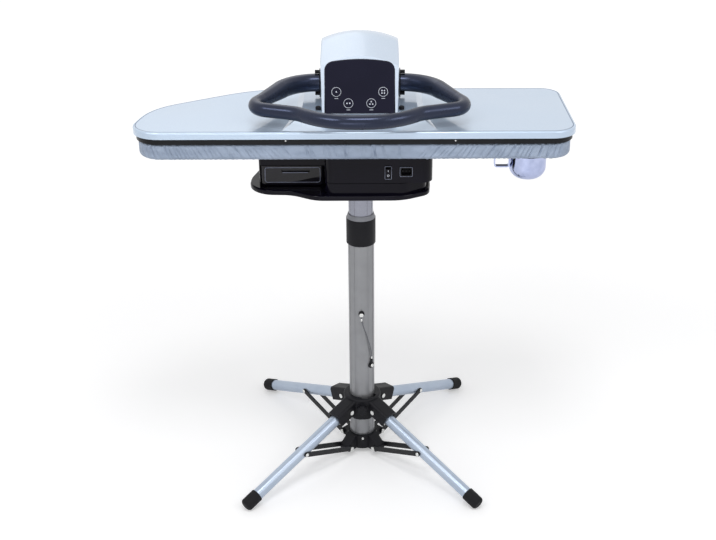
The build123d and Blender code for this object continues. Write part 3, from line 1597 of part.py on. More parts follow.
# Hanging cup: spun cup with a rolled rim and a strap handle
handle_top = cup_top - cup_handle_top_drop
cup_flat_radius = cup_radius - cup_shoulder
with BuildPart() as hanging_cup:
    with BuildSketch(Plane.XZ.offset(-cup_y)):
        with Locations(
            (cup_x - cup_radius - cup_handle_reach / 2 + cup_wall, handle_top - cup_handle_tall / 2)
        ):
            RectangleRounded(cup_handle_reach, cup_handle_tall, cup_handle_rounding)
            RectangleRounded(
                cup_handle_reach - 2 * cup_handle_thickness,
                cup_handle_tall - 2 * cup_handle_thickness,
                cup_handle_rounding - cup_handle_thickness,
                mode=Mode.SUBTRACT,
            )
    extrude(amount=cup_handle_width / 2, both=True)
    with BuildSketch(Plane(origin=(cup_x, cup_y, 0), x_dir=(1, 0, 0), z_dir=(0, -1, 0))):
        with BuildLine():
            Line((0, cup_bottom), (cup_flat_radius, cup_bottom))
            TangentArc((cup_flat_radius, cup_bottom), (cup_radius, cup_bottom + cup_shoulder), tangent=(1, 0))
            Line((cup_radius, cup_bottom + cup_shoulder), (cup_radius, cup_top))
            Line((cup_radius, cup_top), (0, cup_top))
            Line((0, cup_top), (0, cup_bottom))
        make_face()
    revolve(axis=Axis((cup_x, cup_y, 0), (0, 0, 1)), revolution_arc=360)
    with BuildSketch(Plane.XY.offset(cup_top - cup_wall)):
        with Locations((cup_x, cup_y)):
            Circle(cup_radius + cup_rim)
    extrude(amount=cup_wall)
    with BuildSketch(Plane(origin=(cup_x, cup_y, 0), x_dir=(1, 0, 0), z_dir=(0, -1, 0))):
        with BuildLine():
            inner_shoulder = cup_bottom + cup_shoulder
            Line((0, cup_bottom + cup_wall), (cup_flat_radius, cup_bottom + cup_wall))
            TangentArc(
                (cup_flat_radius, cup_bottom + cup_wall),
                (cup_radius - cup_wall, inner_shoulder),
                tangent=(1, 0),
            )
            Line((cup_radius - cup_wall, inner_shoulder), (cup_radius - cup_wall, cup_top))
            Line((cup_radius - cup_wall, cup_top), (0, cup_top))
            Line((0, cup_top), (0, cup_bottom + cup_wall))
        make_face()
    revolve(axis=Axis((cup_x, cup_y, 0), (0, 0, 1)), revolution_arc=360, mode=Mode.SUBTRACT)
save(hanging_cup.part, "hanging_cup")

# Cup rails: two hooked rails under the pan that the rim of the cup slides into
rail_face = cup_radius + cup_rim + part_gap
ledge_top = cup_top - cup_wall - rest_gap
with BuildPart() as cup_rails:
    for side in (1, -1):
        web_x = cup_x + side * (rail_face + rail_thickness / 2)
        with BuildSketch(Plane.XZ.offset(-cup_y - rail_length / 2)):
            with Locations((web_x, (ledge_top - rail_thickness + pan_bottom) / 2)):
                Rectangle(rail_thickness, pan_bottom - ledge_top + rail_thickness)
            with Locations((cup_x + side * (rail_face - rail_ledge / 2), ledge_top - rail_thickness / 2)):
                Rectangle(rail_ledge + rail_thickness / 2, rail_thickness)
            with Locations((web_x - side * rail_roof_width / 2, pan_bottom - rail_thickness / 2)):
                Rectangle(rail_roof_width, rail_thickness)
        extrude(amount=rail_length)
save(cup_rails.part, "cup_rails")
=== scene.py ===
# %% [markdown]
# # A steam ironing press on a folding stand
# The real object is a pressing board on a telescoping column. A hinged metal head closes on the board,
# steam comes out of the head, and four legs fold up against the column like the ribs of an umbrella. The
# shapes of the hard parts come from an engineered model, so this script only adds what that model leaves
# out: cloth, felt, a wire, small screws and print, and the surface of every material.

# %% Load the engineered model
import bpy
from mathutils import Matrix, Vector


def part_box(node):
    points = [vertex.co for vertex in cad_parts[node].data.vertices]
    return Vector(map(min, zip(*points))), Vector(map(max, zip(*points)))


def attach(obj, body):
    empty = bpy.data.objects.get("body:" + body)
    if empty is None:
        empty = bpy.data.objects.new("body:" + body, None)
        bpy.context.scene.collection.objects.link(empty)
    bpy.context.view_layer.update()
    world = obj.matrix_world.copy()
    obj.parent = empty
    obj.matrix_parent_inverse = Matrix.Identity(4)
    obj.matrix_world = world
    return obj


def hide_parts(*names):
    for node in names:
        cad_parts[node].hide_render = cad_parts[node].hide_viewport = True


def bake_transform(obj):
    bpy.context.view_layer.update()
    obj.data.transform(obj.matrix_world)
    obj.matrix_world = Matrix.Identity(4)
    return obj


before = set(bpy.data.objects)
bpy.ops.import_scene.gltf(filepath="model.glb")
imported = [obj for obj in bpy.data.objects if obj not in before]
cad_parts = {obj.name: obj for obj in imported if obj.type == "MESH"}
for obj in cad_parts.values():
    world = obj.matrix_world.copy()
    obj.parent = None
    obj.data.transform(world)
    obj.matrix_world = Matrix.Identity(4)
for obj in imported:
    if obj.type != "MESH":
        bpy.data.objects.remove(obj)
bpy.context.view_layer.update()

# %% Tools
import math
import random
import bmesh
import bpy
from mathutils import Vector

mm = 0.001

# %% [markdown]
# ## The camera
# The photograph was taken from standing height, a little over two metres in front of the press, looking
# down. A camera has three things to settle: where it stands, where it points and how long its lens is. They
# were solved once from points whose real places are known, so here they are plain numbers. The press isn't
# quite in the middle of the picture, and a small lens shift in pixels puts it there.

# %% Camera
camera_place = (0.0145, -2.464, 1.641)
camera_pitch = math.radians(25.21)
camera_turn = math.radians(-0.672)
camera_lens = 58.92
photo_width, photo_shift = 716, -21.9
camera = bpy.data.objects.new("studio_camera", bpy.data.cameras.new("studio_camera"))
camera.location = camera_place
camera.rotation_euler = (math.pi / 2 - camera_pitch, 0, camera_turn)
camera.data.shift_x = photo_shift / photo_width
camera.data.lens = camera_lens
camera.data.sensor_width = 36
camera.data.clip_end = 60
bpy.context.scene.collection.objects.link(camera)
bpy.context.scene.camera = camera
print("camera looks down by", round(math.degrees(camera_pitch), 1), "degrees")

# %% [markdown]
# ## The wire that keeps the height pin
# A steel wire ties the height pin to the column, so the pin can't be lost. It leaves the pin's head, hangs
# straight down, swings out to the right and ends under the screw of its clip. Its line is drawn as a curve
# through the route of the engineered wire, in millimetres, because a curve keeps its true length. Then the
# curve, with a round bevel, becomes a mesh.

# %% Wire tether
tether_route = [
    (0.0, -37.1, 379.9), (0.3, -36.9, 364.0), (4.8, -36.6, 349.0), (11.4, -34.6, 330.0),
    (17.2, -30.8, 307.0), (22.6, -25.0, 281.0), (23.3, -23.3, 265.0), (23.3, -23.3, 249.5),
]
tether_diameter = 2.4
tether_curve = bpy.data.curves.new("wire_tether", "CURVE")
tether_curve.dimensions = "3D"
tether_curve.resolution_u = 24
tether_curve.bevel_resolution = 4
tether_curve.use_fill_caps = True
spline = tether_curve.splines.new("NURBS")
spline.points.add(len(tether_route) - 1)
for point, place in zip(spline.points, tether_route):
    point.co = (*(v * mm for v in place), 1)
spline.order_u = 3
spline.use_endpoint_u = True
tether_line = bpy.data.objects.new("tether_line", tether_curve)
bpy.context.scene.collection.objects.link(tether_line)
meshes = []
for bevel in (0, tether_diameter / 2 * mm):
    tether_curve.bevel_depth = bevel
    bpy.context.view_layer.update()
    evaluated = tether_line.evaluated_get(bpy.context.evaluated_depsgraph_get())
    meshes.append(bpy.data.meshes.new_from_object(evaluated))
bpy.data.objects.remove(tether_line)
tether = bpy.data.objects.new("wire_tether", meshes[1])
bpy.context.scene.collection.objects.link(tether)
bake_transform(tether)
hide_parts("pin_tether")

# %% [markdown]
# ## Colour and nodes
# Colours are easiest to choose as hex values, the way a screen shows them. Blender adds up light in linear
# values, so one function turns a hex colour into those. A second one adds a shader node, gives it its
# settings and joins it to other nodes: whatever is already a socket becomes a link, and any other value is
# typed into the socket.

# %% Two small functions
def linear(hex_colour):
    parts = [int(hex_colour[i:i + 2], 16) / 255 for i in (1, 3, 5)]
    return (*(p / 12.92 if p <= 0.04045 else ((p + 0.055) / 1.055) ** 2.4 for p in parts), 1.0)


def add_node(material, kind, sockets, **settings):
    node = material.node_tree.nodes.new(kind)
    for name, value in settings.items():
        setattr(node, name, value)
    for name, value in sockets.items():
        if isinstance(value, bpy.types.NodeSocket):
            material.node_tree.links.new(value, node.inputs[name])
        else:
            node.inputs[name].default_value = value
    return node


print("mid grey #808080 is", round(linear("#808080")[0], 3), "in linear light")

# %% [markdown]
# Every finish here starts the same way: a shader with its fixed numbers, and then patterns that are
# measured in real millimetres. A pattern is laid in the piece's own space, so it stays on the piece when
# the piece moves. It can shift the colour between a dark and a light one, change how rough the surface is,
# and raise a relief. `stretch` makes it longer along an axis, which turns spots into the lines of drawing,
# brushing or extrusion. Blender's wave pattern repeats every pi / 10 at scale 1, so the scale `one_wave`
# gives one wave per pattern size.

# %% Start a finish and lay a pattern
def start_finish(name, colour, **sockets):
    material = bpy.data.materials.new(name)
    material.use_nodes = True
    shader = material.node_tree.nodes["Principled BSDF"]
    shader.inputs["Base Color"].default_value = linear(colour)
    for socket, value in sockets.items():
        shader.inputs[socket.replace("_", " ")].default_value = value
    return material


def lay_pattern(material, size_mm, stretch=(1, 1, 1), turn=(0, 0, 0), source=None, window=(0.3, 0.7),
                texture="Noise", output=0, values=None, colours=None, roughness=None, depth_mm=None,
                **settings):
    shader = material.node_tree.nodes["Principled BSDF"]
    join = material.node_tree.links.new
    if source is None:
        source = add_node(material, "ShaderNodeTexCoord", {}).outputs["Object"]
    turned = add_node(material, "ShaderNodeMapping", {"Vector": source, "Rotation": turn})
    scale = [1 / (size_mm * mm * s) for s in stretch]
    sized = add_node(material, "ShaderNodeMapping", {"Vector": turned.outputs[0], "Scale": scale})
    sockets = {"Vector": sized.outputs[0], "Scale": 1.0, **(values or {})}
    figure = add_node(material, "ShaderNodeTex" + texture, sockets, **settings).outputs[output]
    window_sockets = {"Value": figure, "From Min": window[0], "From Max": window[1]}
    amount = add_node(material, "ShaderNodeMapRange", window_sockets).outputs[0]
    if colours is not None:
        mix = add_node(material, "ShaderNodeMix", {0: amount, 7: linear(colours[1])}, data_type="RGBA")
        if colours[0] is not None:
            mix.inputs[6].default_value = linear(colours[0])
        elif shader.inputs["Base Color"].is_linked:
            join(shader.inputs["Base Color"].links[0].from_socket, mix.inputs[6])
        join(mix.outputs[2], shader.inputs["Base Color"])
    if roughness is not None:
        rough_sockets = {"Value": amount, "To Min": roughness[0], "To Max": roughness[1]}
        join(add_node(material, "ShaderNodeMapRange", rough_sockets).outputs[0], shader.inputs["Roughness"])
    if depth_mm is not None:
        bump = add_node(material, "ShaderNodeBump", {"Height": amount, "Distance": depth_mm * mm})
        if shader.inputs["Normal"].is_linked:
            join(shader.inputs["Normal"].links[0].from_socket, bump.inputs["Normal"])
        join(bump.outputs[0], shader.inputs["Normal"])
    return amount


one_wave = math.pi / 10
finishes = {}
print("ready for the finishes")

# %% [markdown]
# ## The wire's steel
# The tether is a thin rope of galvanised wires. Its strands wind round it in steep stripes about 1.5 mm
# apart. The dark bands between them are painted shade in the hollows, and the rope's grey, darker than its
# zinc, is painted shade too.

# %% Galvanised wire rope
wire_rope = start_finish("galvanised_wire_rope", "#6e7076", Metallic=0.8, Roughness=0.4)
# painted shade: dark bands in the hollows between strands, on a grey kept darker than zinc
lay_pattern(wire_rope, 1.5, texture="Wave", window=(0, 1), depth_mm=0.12, colours=("#4a4b50", "#83858a"),
            values={"Scale": one_wave}, bands_direction="DIAGONAL")
tether.data.materials.append(wire_rope)
print("wire rope of", tether_diameter, "mm")

# %% [markdown]
# ## Aluminium tubes
# The outer column is an extruded tube, anodised to a satin grey. The die leaves fine straight lines along
# the tube, so the pattern is half a millimetre wide and hundreds long. The oxide over the metal scatters
# light as paint does, so the shader is only partly metallic, and its roughness between 0.3 and 0.45 is what
# makes anodising look satin.

# %% Extruded, anodised aluminium
anodised_extrusion = start_finish("anodised_extruded_aluminium", "#8f9093", Metallic=0.6, Roughness=0.36)
die_line = 0.6
lay_pattern(anodised_extrusion, 45, colours=("#8a8b8e", "#959699"), roughness=(0.30, 0.42))
lay_pattern(anodised_extrusion, die_line, stretch=(1, 1, 400), depth_mm=0.012)
finishes["column_aluminium"] = anodised_extrusion
print("die lines", die_line, "mm apart")

# %% [markdown]
# The legs are drawn tubes with a paler, bluish anodising. Their lines run along each leg, and the four legs
# point four ways. Taking the absolute value of x and y folds all four onto one, so one turned pattern
# serves them all.

# %% Drawn, anodised aluminium
drawn_tube = start_finish("anodised_drawn_aluminium", "#afbccd", Metallic=0.6, Roughness=0.36)
leg_slope = math.radians(19.3)
own_place = add_node(drawn_tube, "ShaderNodeTexCoord", {}).outputs["Object"]
folded = add_node(drawn_tube, "ShaderNodeVectorMath", {0: own_place}, operation="ABSOLUTE").outputs[0]
quarter = (0, 0, -math.pi / 4)
facing = add_node(drawn_tube, "ShaderNodeMapping", {"Vector": folded, "Rotation": quarter}).outputs[0]
lay_pattern(drawn_tube, 60, source=facing, colours=("#a9b6c8", "#b7c3d3"), roughness=(0.30, 0.42))
lay_pattern(drawn_tube, 0.8, source=facing, stretch=(300, 1, 1), turn=(0, -leg_slope, 0), depth_mm=0.01)
finishes["leg_aluminium"] = drawn_tube
print("leg slope", round(math.degrees(leg_slope), 1), "degrees")

# %% [markdown]
# The inner column slides in its bush, so it is polished brighter and carries faint lengthwise sliding
# marks.

# %% Polished aluminium
polished_tube = start_finish("polished_aluminium", "#92949f", Metallic=0.8, Roughness=0.24)
lay_pattern(polished_tube, 70, colours=("#8c8e99", "#9a9ca7"), roughness=(0.19, 0.3))
lay_pattern(polished_tube, 1.6, stretch=(1, 1, 120), window=(0.55, 0.75), depth_mm=0.006)
finishes["inner_tube"] = polished_tube
print("inner tube is polished")

# %% [markdown]
# ## Moulded plastics
# The collar, the hub and the leg spider are moulded in black nylon. The mould is etched by sparks, which
# leaves a grain of about 0.4 mm. That is too fine to show here, so it is drawn at 1.1 mm and kept shallow.
# Hands and dust make such a part uneven in gloss rather than in colour.

# %% Black nylon with a spark grain
spark_grain = 1.1
black_nylon = start_finish("spark_grained_nylon", "#16161a", Roughness=0.48, IOR=1.53,
                           Specular_IOR_Level=0.16)
lay_pattern(black_nylon, 38, colours=("#131317", "#1b1b20"), roughness=(0.4, 0.58))
lay_pattern(black_nylon, spark_grain, texture="Voronoi", window=(0.1, 0.8), depth_mm=0.02)
finishes["black_plastic"] = black_nylon
print("spark grain drawn at", spark_grain, "mm")

# %% [markdown]
# The tray, the base and the control panel are black ABS out of a polished mould. Gloss plastic is never
# quite flat: it swims a little where the wall cooled unevenly, with waves some 40 mm long and hundredths of
# a millimetre deep.

# %% Gloss black ABS
gloss_abs = start_finish("gloss_moulded_abs", "#0b0916", Roughness=0.1, IOR=1.54, Specular_IOR_Level=0.12)
lay_pattern(gloss_abs, 90, colours=("#090712", "#0e0c1a"), roughness=(0.07, 0.16))
lay_pattern(gloss_abs, 42, window=(0, 1), depth_mm=0.05)
finishes["gloss_black"] = gloss_abs
print("gloss ABS swims over 42 mm")

# %% [markdown]
# The handle is the same nylon from a smoother mould, rubbed by hands to a soft shine, so light runs along
# its limbs. The control panel is a hard-coated acrylic window over a printed back, glossier than the tray.
# The lacquer under the board's pan is a navy stoving enamel, which the polished cup mirrors.

# %% Smooth grip, panel window and navy enamel
smooth_nylon = start_finish("hand_polished_nylon", "#10131c", Roughness=0.26, IOR=1.53,
                            Specular_IOR_Level=0.62, Specular_Tint=linear("#c0cfff"))
lay_pattern(smooth_nylon, 45, colours=("#0e1018", "#141722"), roughness=(0.2, 0.32))
lay_pattern(smooth_nylon, 2.2, texture="Voronoi", window=(0.1, 0.8), depth_mm=0.02)
finishes["handle"] = smooth_nylon
window_acrylic = start_finish("hard_coated_acrylic", "#100f1b", Roughness=0.12, IOR=1.49,
                              Specular_IOR_Level=0.32, Specular_Tint=linear("#c6c9ff"))
lay_pattern(window_acrylic, 70, colours=("#0e0d15", "#13121c"), roughness=(0.09, 0.18))
finishes["control_panel"] = window_acrylic
for key in ("key_outer_left", "key_inner_left", "key_inner_right", "key_outer_right"):
    finishes[key] = window_acrylic
navy_enamel = start_finish("navy_stoving_enamel", "#0d1430", Roughness=0.3, IOR=1.5)
lay_pattern(navy_enamel, 40, colours=("#0b112a", "#111a3a"), roughness=(0.24, 0.38))
finishes["board_pan"] = navy_enamel
print("grip, panel and pan are ready")

# %% [markdown]
# The ring above the collar is pale grey ABS with a matt mould face.

# %% Pale ABS
pale_abs = start_finish("matt_pale_abs", "#9c9ea6", Roughness=0.4, IOR=1.54)
lay_pattern(pale_abs, 30, colours=("#9799a1", "#a4a6ae"), roughness=(0.34, 0.48))
lay_pattern(pale_abs, 0.9, texture="Voronoi", window=(0.1, 0.8), depth_mm=0.01)
finishes["pale_plastic"] = pale_abs
print("pale ABS is ready")

# %% [markdown]
# The water tank is smoked polycarbonate. It lets light through, bends it by 1.58 and swallows most of it,
# so it looks nearly black against the base, with sharp bright lines where its edges catch the lamps. The
# smoke colour goes straight on the transmitting shader.

# %% Smoked polycarbonate
smoked = start_finish("smoked_polycarbonate", "#15131f", Roughness=0.04, IOR=1.58, Transmission_Weight=0.3,
                      Specular_IOR_Level=0.14)
lay_pattern(smoked, 60, colours=("#12101a", "#191724"), roughness=(0.03, 0.08))
lay_pattern(smoked, 35, window=(0, 1), depth_mm=0.03)
finishes["smoky_plastic"] = smoked
print("tank is smoked")

# %% [markdown]
# The feet are moulded rubber: dull, a little paler where dust and scuffs gather, with a coarse soft grain.

# %% Moulded rubber
rubber = start_finish("moulded_rubber", "#161618", Roughness=0.75, IOR=1.52, Specular_IOR_Level=0.2)
lay_pattern(rubber, 22, colours=("#131315", "#1e1e21"), roughness=(0.62, 0.85))
lay_pattern(rubber, 1.4, depth_mm=0.05)
finishes["foot_rubber"] = rubber
print("rubber is dull")

# %% [markdown]
# ## Steel parts
# The straps and brackets are pressed steel under a black powder coat. Powder flows out in the oven into a
# fine orange peel about 2 mm across, which breaks up its highlights.

# %% Powder-coated steel
powder_coat = start_finish("powder_coated_steel", "#191a1e", Roughness=0.38, IOR=1.5,
                           Specular_IOR_Level=0.25)
lay_pattern(powder_coat, 30, colours=("#16171a", "#1f2024"), roughness=(0.3, 0.45))
lay_pattern(powder_coat, 2.0, window=(0.2, 0.8), depth_mm=0.03)
finishes["black_steel"] = powder_coat
print("orange peel is 2 mm across")

# %% [markdown]
# Pins, rivets and the height pin are nickel-plated: bright, slightly warm, and mottled where fingers dull
# them.

# %% Nickel-plated steel
nickel = start_finish("nickel_plated_steel", "#d6d6d4", Metallic=1.0, Roughness=0.12)
lay_pattern(nickel, 9, colours=("#cbccca", "#dedfde"), roughness=(0.07, 0.2))
lay_pattern(nickel, 1.2, window=(0.2, 0.8), depth_mm=0.004)
finishes["bright_steel"] = nickel
print("nickel plate is ready")

# %% [markdown]
# Flanges, rails and other hidden steel are zinc-plated. Zinc dries in a faint patchwork of grains, so cells
# of a few millimetres differ in grey and in gloss.

# %% Zinc-plated steel
zinc = start_finish("zinc_plated_steel", "#a4a8ad", Metallic=1.0, Roughness=0.34)
lay_pattern(zinc, 4, texture="Voronoi", output="Color", window=(0.1, 0.9), colours=("#999da2", "#b0b4b8"),
            roughness=(0.26, 0.42))
lay_pattern(zinc, 18, depth_mm=0.02)
finishes["plain_steel"] = zinc
print("zinc grains are 4 mm")

# %% [markdown]
# ## Silver lacquer
# The head is a pressed steel cover sprayed with a blue-silver lacquer under a clear coat. The lacquer holds
# metal flakes, so it shines like a metal seen through glass: the base is half metallic and fairly rough,
# and the coat on top is smooth. Real flakes are a tenth of a millimetre; they are drawn at 0.7 mm, just
# enough to make it glitter.

# %% Blue-silver lacquer on steel
flake = 0.7
lacquer = start_finish("silver_lacquered_steel", "#bccee2", Metallic=0.55, Roughness=0.34, Coat_Weight=0.8,
                       Coat_Roughness=0.05)
lay_pattern(lacquer, flake, texture="Voronoi", output="Color", window=(0, 1),
            colours=("#b5c8de", "#c4d4e6"))
lay_pattern(lacquer, flake, texture="Voronoi", output="Color", window=(0, 1), depth_mm=0.006)
lay_pattern(lacquer, 130, roughness=(0.3, 0.38), depth_mm=0.04)
finishes["plate_silver"] = lacquer
print("flakes drawn at", flake, "mm")

# %% [markdown]
# The arm's casing is ABS in the same silver. Plastic takes the lacquer a little softer and paler than steel
# does.

# %% Blue-silver lacquer on ABS
soft_lacquer = start_finish("silver_lacquered_abs", "#c6d4e4", Metallic=0.45, Roughness=0.36,
                            Coat_Weight=0.7, Coat_Roughness=0.08)
lay_pattern(soft_lacquer, flake, texture="Voronoi", output="Color", window=(0, 1),
            colours=("#bfcee0", "#ced9e7"))
lay_pattern(soft_lacquer, 90, roughness=(0.32, 0.42), depth_mm=0.05)
finishes["casing_silver"] = soft_lacquer
print("casing is lacquered")

# %% [markdown]
# ## Hot and hidden metals
# The pressing shoe is cast aluminium with a black non-stick coat, which leaves it satin with a fine pebble.
# The boiler is brushed stainless steel, brushed round its axis.

# %% Coated casting and brushed steel
coated_casting = start_finish("nonstick_coated_casting", "#121317", Roughness=0.32, IOR=1.38,
                              Specular_IOR_Level=0.3)
lay_pattern(coated_casting, 50, colours=("#0f1013", "#191a1f"), roughness=(0.26, 0.4))
lay_pattern(coated_casting, 1.5, depth_mm=0.03)
finishes["shoe_aluminium"] = coated_casting
brushed = start_finish("brushed_stainless_steel", "#a9a9a8", Metallic=1.0, Roughness=0.3)
lay_pattern(brushed, 0.7, stretch=(200, 1, 1), colours=("#9c9c9b", "#b6b6b5"), roughness=(0.22, 0.38),
            depth_mm=0.01)
finishes["boiler_metal"] = brushed
print("shoe and boiler are ready")

# %% [markdown]
# The cup is pressed from stainless steel and polished to a mirror with a cool lilac cast. Polishing leaves
# hazy swirls, so its roughness drifts a little, and pressing leaves it gently uneven.

# %% Polished stainless steel
polished_steel = start_finish("polished_stainless_steel", "#aab3d2", Metallic=1.0, Roughness=0.09)
lay_pattern(polished_steel, 14, colours=("#a3accc", "#b5bddb"), roughness=(0.06, 0.15))
lay_pattern(polished_steel, 25, window=(0, 1), depth_mm=0.08)
finishes["cup_metal"] = polished_steel
print("cup is polished")

# %% [markdown]
# The circuit board is woven glass in green epoxy. Under the lacquer run copper tracks 2 mm apart, which
# show as paler squares and lines.

# %% Glass-epoxy laminate
laminate = start_finish("glass_epoxy_laminate", "#14532c", Roughness=0.3, IOR=1.55, Coat_Weight=0.5)
lay_pattern(laminate, 8, texture="Brick", output="Fac", window=(0, 1), colours=("#1c6b3a", "#0f4224"))
lay_pattern(laminate, 1.2, texture="Voronoi", window=(0.1, 0.8), roughness=(0.25, 0.4), depth_mm=0.01)
finishes["circuit_laminate"] = laminate
print("laminate is ready")

# %% [markdown]
# ## Cloth and felt
# The board's cover is cotton coated with aluminium, which throws the heat back into the laundry. It is a
# plain weave of threads 0.5 mm apart, drawn at 1.4 mm so that it shows, and its coat is a third metallic
# and creases paler along every fold. Two sets of waves, one along the board and one across, make the weave.

# %% Aluminium-coated cotton
thread = 1.4
coated_cotton = start_finish("aluminium_coated_cotton", "#98a6bb", Metallic=0.3, Roughness=0.46,
                              Sheen_Weight=0.1, Sheen_Roughness=0.5)
lay_pattern(coated_cotton, 16, stretch=(2.5, 2.5, 1), window=(0.25, 0.75), colours=("#8d9bb1", "#a8b6cb"),
            roughness=(0.36, 0.54))
lay_pattern(coated_cotton, 5, window=(0.35, 0.7), depth_mm=0.35, values={"Detail": 4.0})
lay_pattern(coated_cotton, thread, texture="Wave", window=(0, 1), depth_mm=0.05,
            values={"Scale": one_wave, "Distortion": 0.3}, bands_direction="X")
lay_pattern(coated_cotton, thread, texture="Wave", window=(0, 1), depth_mm=0.05,
            values={"Scale": one_wave, "Distortion": 0.3}, bands_direction="Z")
finishes["cover_cloth"] = coated_cotton
print("threads drawn", thread, "mm apart")

# %% [markdown]
# Under the cover lies needled polyester felt: off-white, quite matt, with loose fibres that cross at all
# angles.

# %% Needled felt
felt = start_finish("needled_polyester_felt", "#d2cdbf", Roughness=0.95, Sheen_Weight=0.5,
                    Sheen_Roughness=0.6)
lay_pattern(felt, 2.5, stretch=(4, 1, 1), turn=(0, 0, 0.6), colours=("#c4beae", "#dcd8cc"), depth_mm=0.2)
lay_pattern(felt, 2.5, stretch=(4, 1, 1), turn=(0, 0, -0.7), depth_mm=0.2)
finishes["pad_felt"] = felt
print("finishes:", len(finishes))

# %% [markdown]
# ## Dress the engineered parts
# Each part of the engineered model already knows the name of its material, so one loop gives every part its
# finish. A few parts have a finish of their own, kept under the part's name.

# %% Give every part its finish
for name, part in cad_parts.items():
    for holder in part.material_slots:
        holder.material = finishes.get(name, finishes[holder.material.name.split(".")[0]])
print("dressed", len(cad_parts), "parts")

# %% [markdown]
# ## The board's felt pad
# The pad is a thick felt cut to the board's outline. Its form is simple, so it is built ring by ring: the
# outline is read from the engineered pad as the line round its widest part, spaced evenly, and copied into
# rings that shrink and rise to make a rounded edge and a slight crown. Rings of equal count join into a
# clean grid of quads.

# %% Outlines
def outline_of(node, spacing_mm):
    flat = sorted({(round(v.co.x, 5), round(v.co.y, 5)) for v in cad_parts[node].data.vertices})
    hull = []
    for order in (flat, flat[::-1]):
        chain = []
        for p in order:
            while len(chain) > 1 and (chain[-1][0] - chain[-2][0]) * (p[1] - chain[-2][1]) <= \
                    (chain[-1][1] - chain[-2][1]) * (p[0] - chain[-2][0]):
                chain.pop()
            chain.append(p)
        hull += chain[:-1]
    corners = [Vector(p) for p in hull]
    lengths = [(b - a).length for a, b in zip(corners, corners[1:] + corners[:1])]
    count = round(sum(lengths) / (spacing_mm * mm))
    step = sum(lengths) / count
    spots, travelled, edge = [], 0.0, 0
    for i in range(count):
        while travelled + lengths[edge] < i * step:
            travelled += lengths[edge]
            edge += 1
        share = (i * step - travelled) / lengths[edge]
        spots.append(corners[edge].lerp(corners[(edge + 1) % len(corners)], share))
    return spots, step


def outward(spots, reach=3):
    arrows = []
    for i in range(len(spots)):
        along = spots[(i + reach) % len(spots)] - spots[i - reach]
        arrows.append(Vector((along.y, -along.x)).normalized())
    return arrows


def inset(spots, arrows, amount_mm, height):
    return [(*(p - n * amount_mm * mm), height) for p, n in zip(spots, arrows)]


spine_end = 0.3


def drawn_to_spine(spots, share, height):
    spine = [Vector((max(-spine_end, min(spine_end, p.x)), 0)) for p in spots]
    return [(*p.lerp(q, share), height) for p, q in zip(spots, spine)]


pad_spots, pad_step = outline_of("board_pad", 6)
pad_arrows = outward(pad_spots)
print("pad outline of", round(len(pad_spots) * pad_step, 3), "m in", len(pad_spots), "steps")

# %% Rings into a piece
def join_rings(work, rings, round_again=False):
    for low, high in zip(rings, rings[1:] + (rings[:1] if round_again else [])):
        for i in range(len(low)):
            j = (i + 1) % len(low)
            work.faces.new((low[i], low[j], high[j], high[i]))


def piece_of(name, work, smooth=True):
    for face in work.faces:
        face.smooth = smooth
    mesh = bpy.data.meshes.new(name)
    work.to_mesh(mesh)
    work.free()
    piece = bpy.data.objects.new(name, mesh)
    bpy.context.scene.collection.objects.link(piece)
    return piece


def fit(piece, body, finish):
    piece.data.materials.append(finish)
    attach(piece, body)
    return piece


def ring_mesh(name, rings, closed_top=True, closed_bottom=True):
    work = bmesh.new()
    loops = [[work.verts.new(p) for p in ring] for ring in rings]
    join_rings(work, loops)
    for wanted, loop in ((closed_bottom, loops[0][::-1]), (closed_top, loops[-1])):
        if wanted:
            centre = work.verts.new(sum((v.co for v in loop), Vector()) / len(loop))
            for i in range(len(loop)):
                work.faces.new((loop[i], loop[(i + 1) % len(loop)], centre))
    return piece_of(name, work)


print("rings join into quads")

# %% Felt pad
pad_low, pad_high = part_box("board_pad")
pad_tall = pad_high.z - pad_low.z
room_for_cloth, edge_round = 3.4, 3.2
pad_rings = [drawn_to_spine(pad_spots, share, pad_low.z) for share in (0.8, 0.4)]
pad_rings.append(inset(pad_spots, pad_arrows, 6.5, pad_low.z))
for step in range(9):
    angle = math.pi * (step / 8 - 0.5)
    into = room_for_cloth + edge_round * (1 - math.cos(angle))
    level = pad_low.z + pad_tall * (0.47 + 0.44 * math.sin(angle))
    pad_rings.append(inset(pad_spots, pad_arrows, into, level))
for into, below_crown in ((10, 0.0012), (16, 0.0004)):
    pad_rings.append(inset(pad_spots, pad_arrows, into, pad_high.z - below_crown))
for share in (0.2, 0.5, 0.8):
    pad_rings.append(drawn_to_spine(pad_spots, share, pad_high.z))
pad = fit(ring_mesh("felt_pad", pad_rings), "press_base", felt)
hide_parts("board_pad")
print("pad is", round(pad_tall / mm, 1), "mm thick")

# %% [markdown]
# ## The board's cloth cover
# The cover is one sheet, cut larger than the board and drawn in below it by a cord in its hem. The spare
# cloth has nowhere to go but into folds, which lean away from the middle of the board: they start at the
# hem, climb the edge like the ribs of a fan and fade where the hot shoe presses the cloth flat. The two
# rounded ends pull smooth. A simulation can crumple a sheet like this, but it wouldn't put the folds where
# they are. So every fold is placed: its foot on the hem, its slant, its width and its depth, drawn from a
# seeded list that is the same on every run. Near the middle of the board the slants are mixed, and over the
# last seventh at each end the folds die out.

# %% Folds along the hem
cover_spots, cover_step = outline_of("board_cover", 1.6)
cover_arrows = outward(cover_spots, 6)
cover_low, cover_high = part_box("board_cover")
cover_round = len(cover_spots) * cover_step
board_middle, board_half = -0.011, 0.467
mixed_middle, smooth_ends = 0.22, 0.14
deal = random.Random(24)


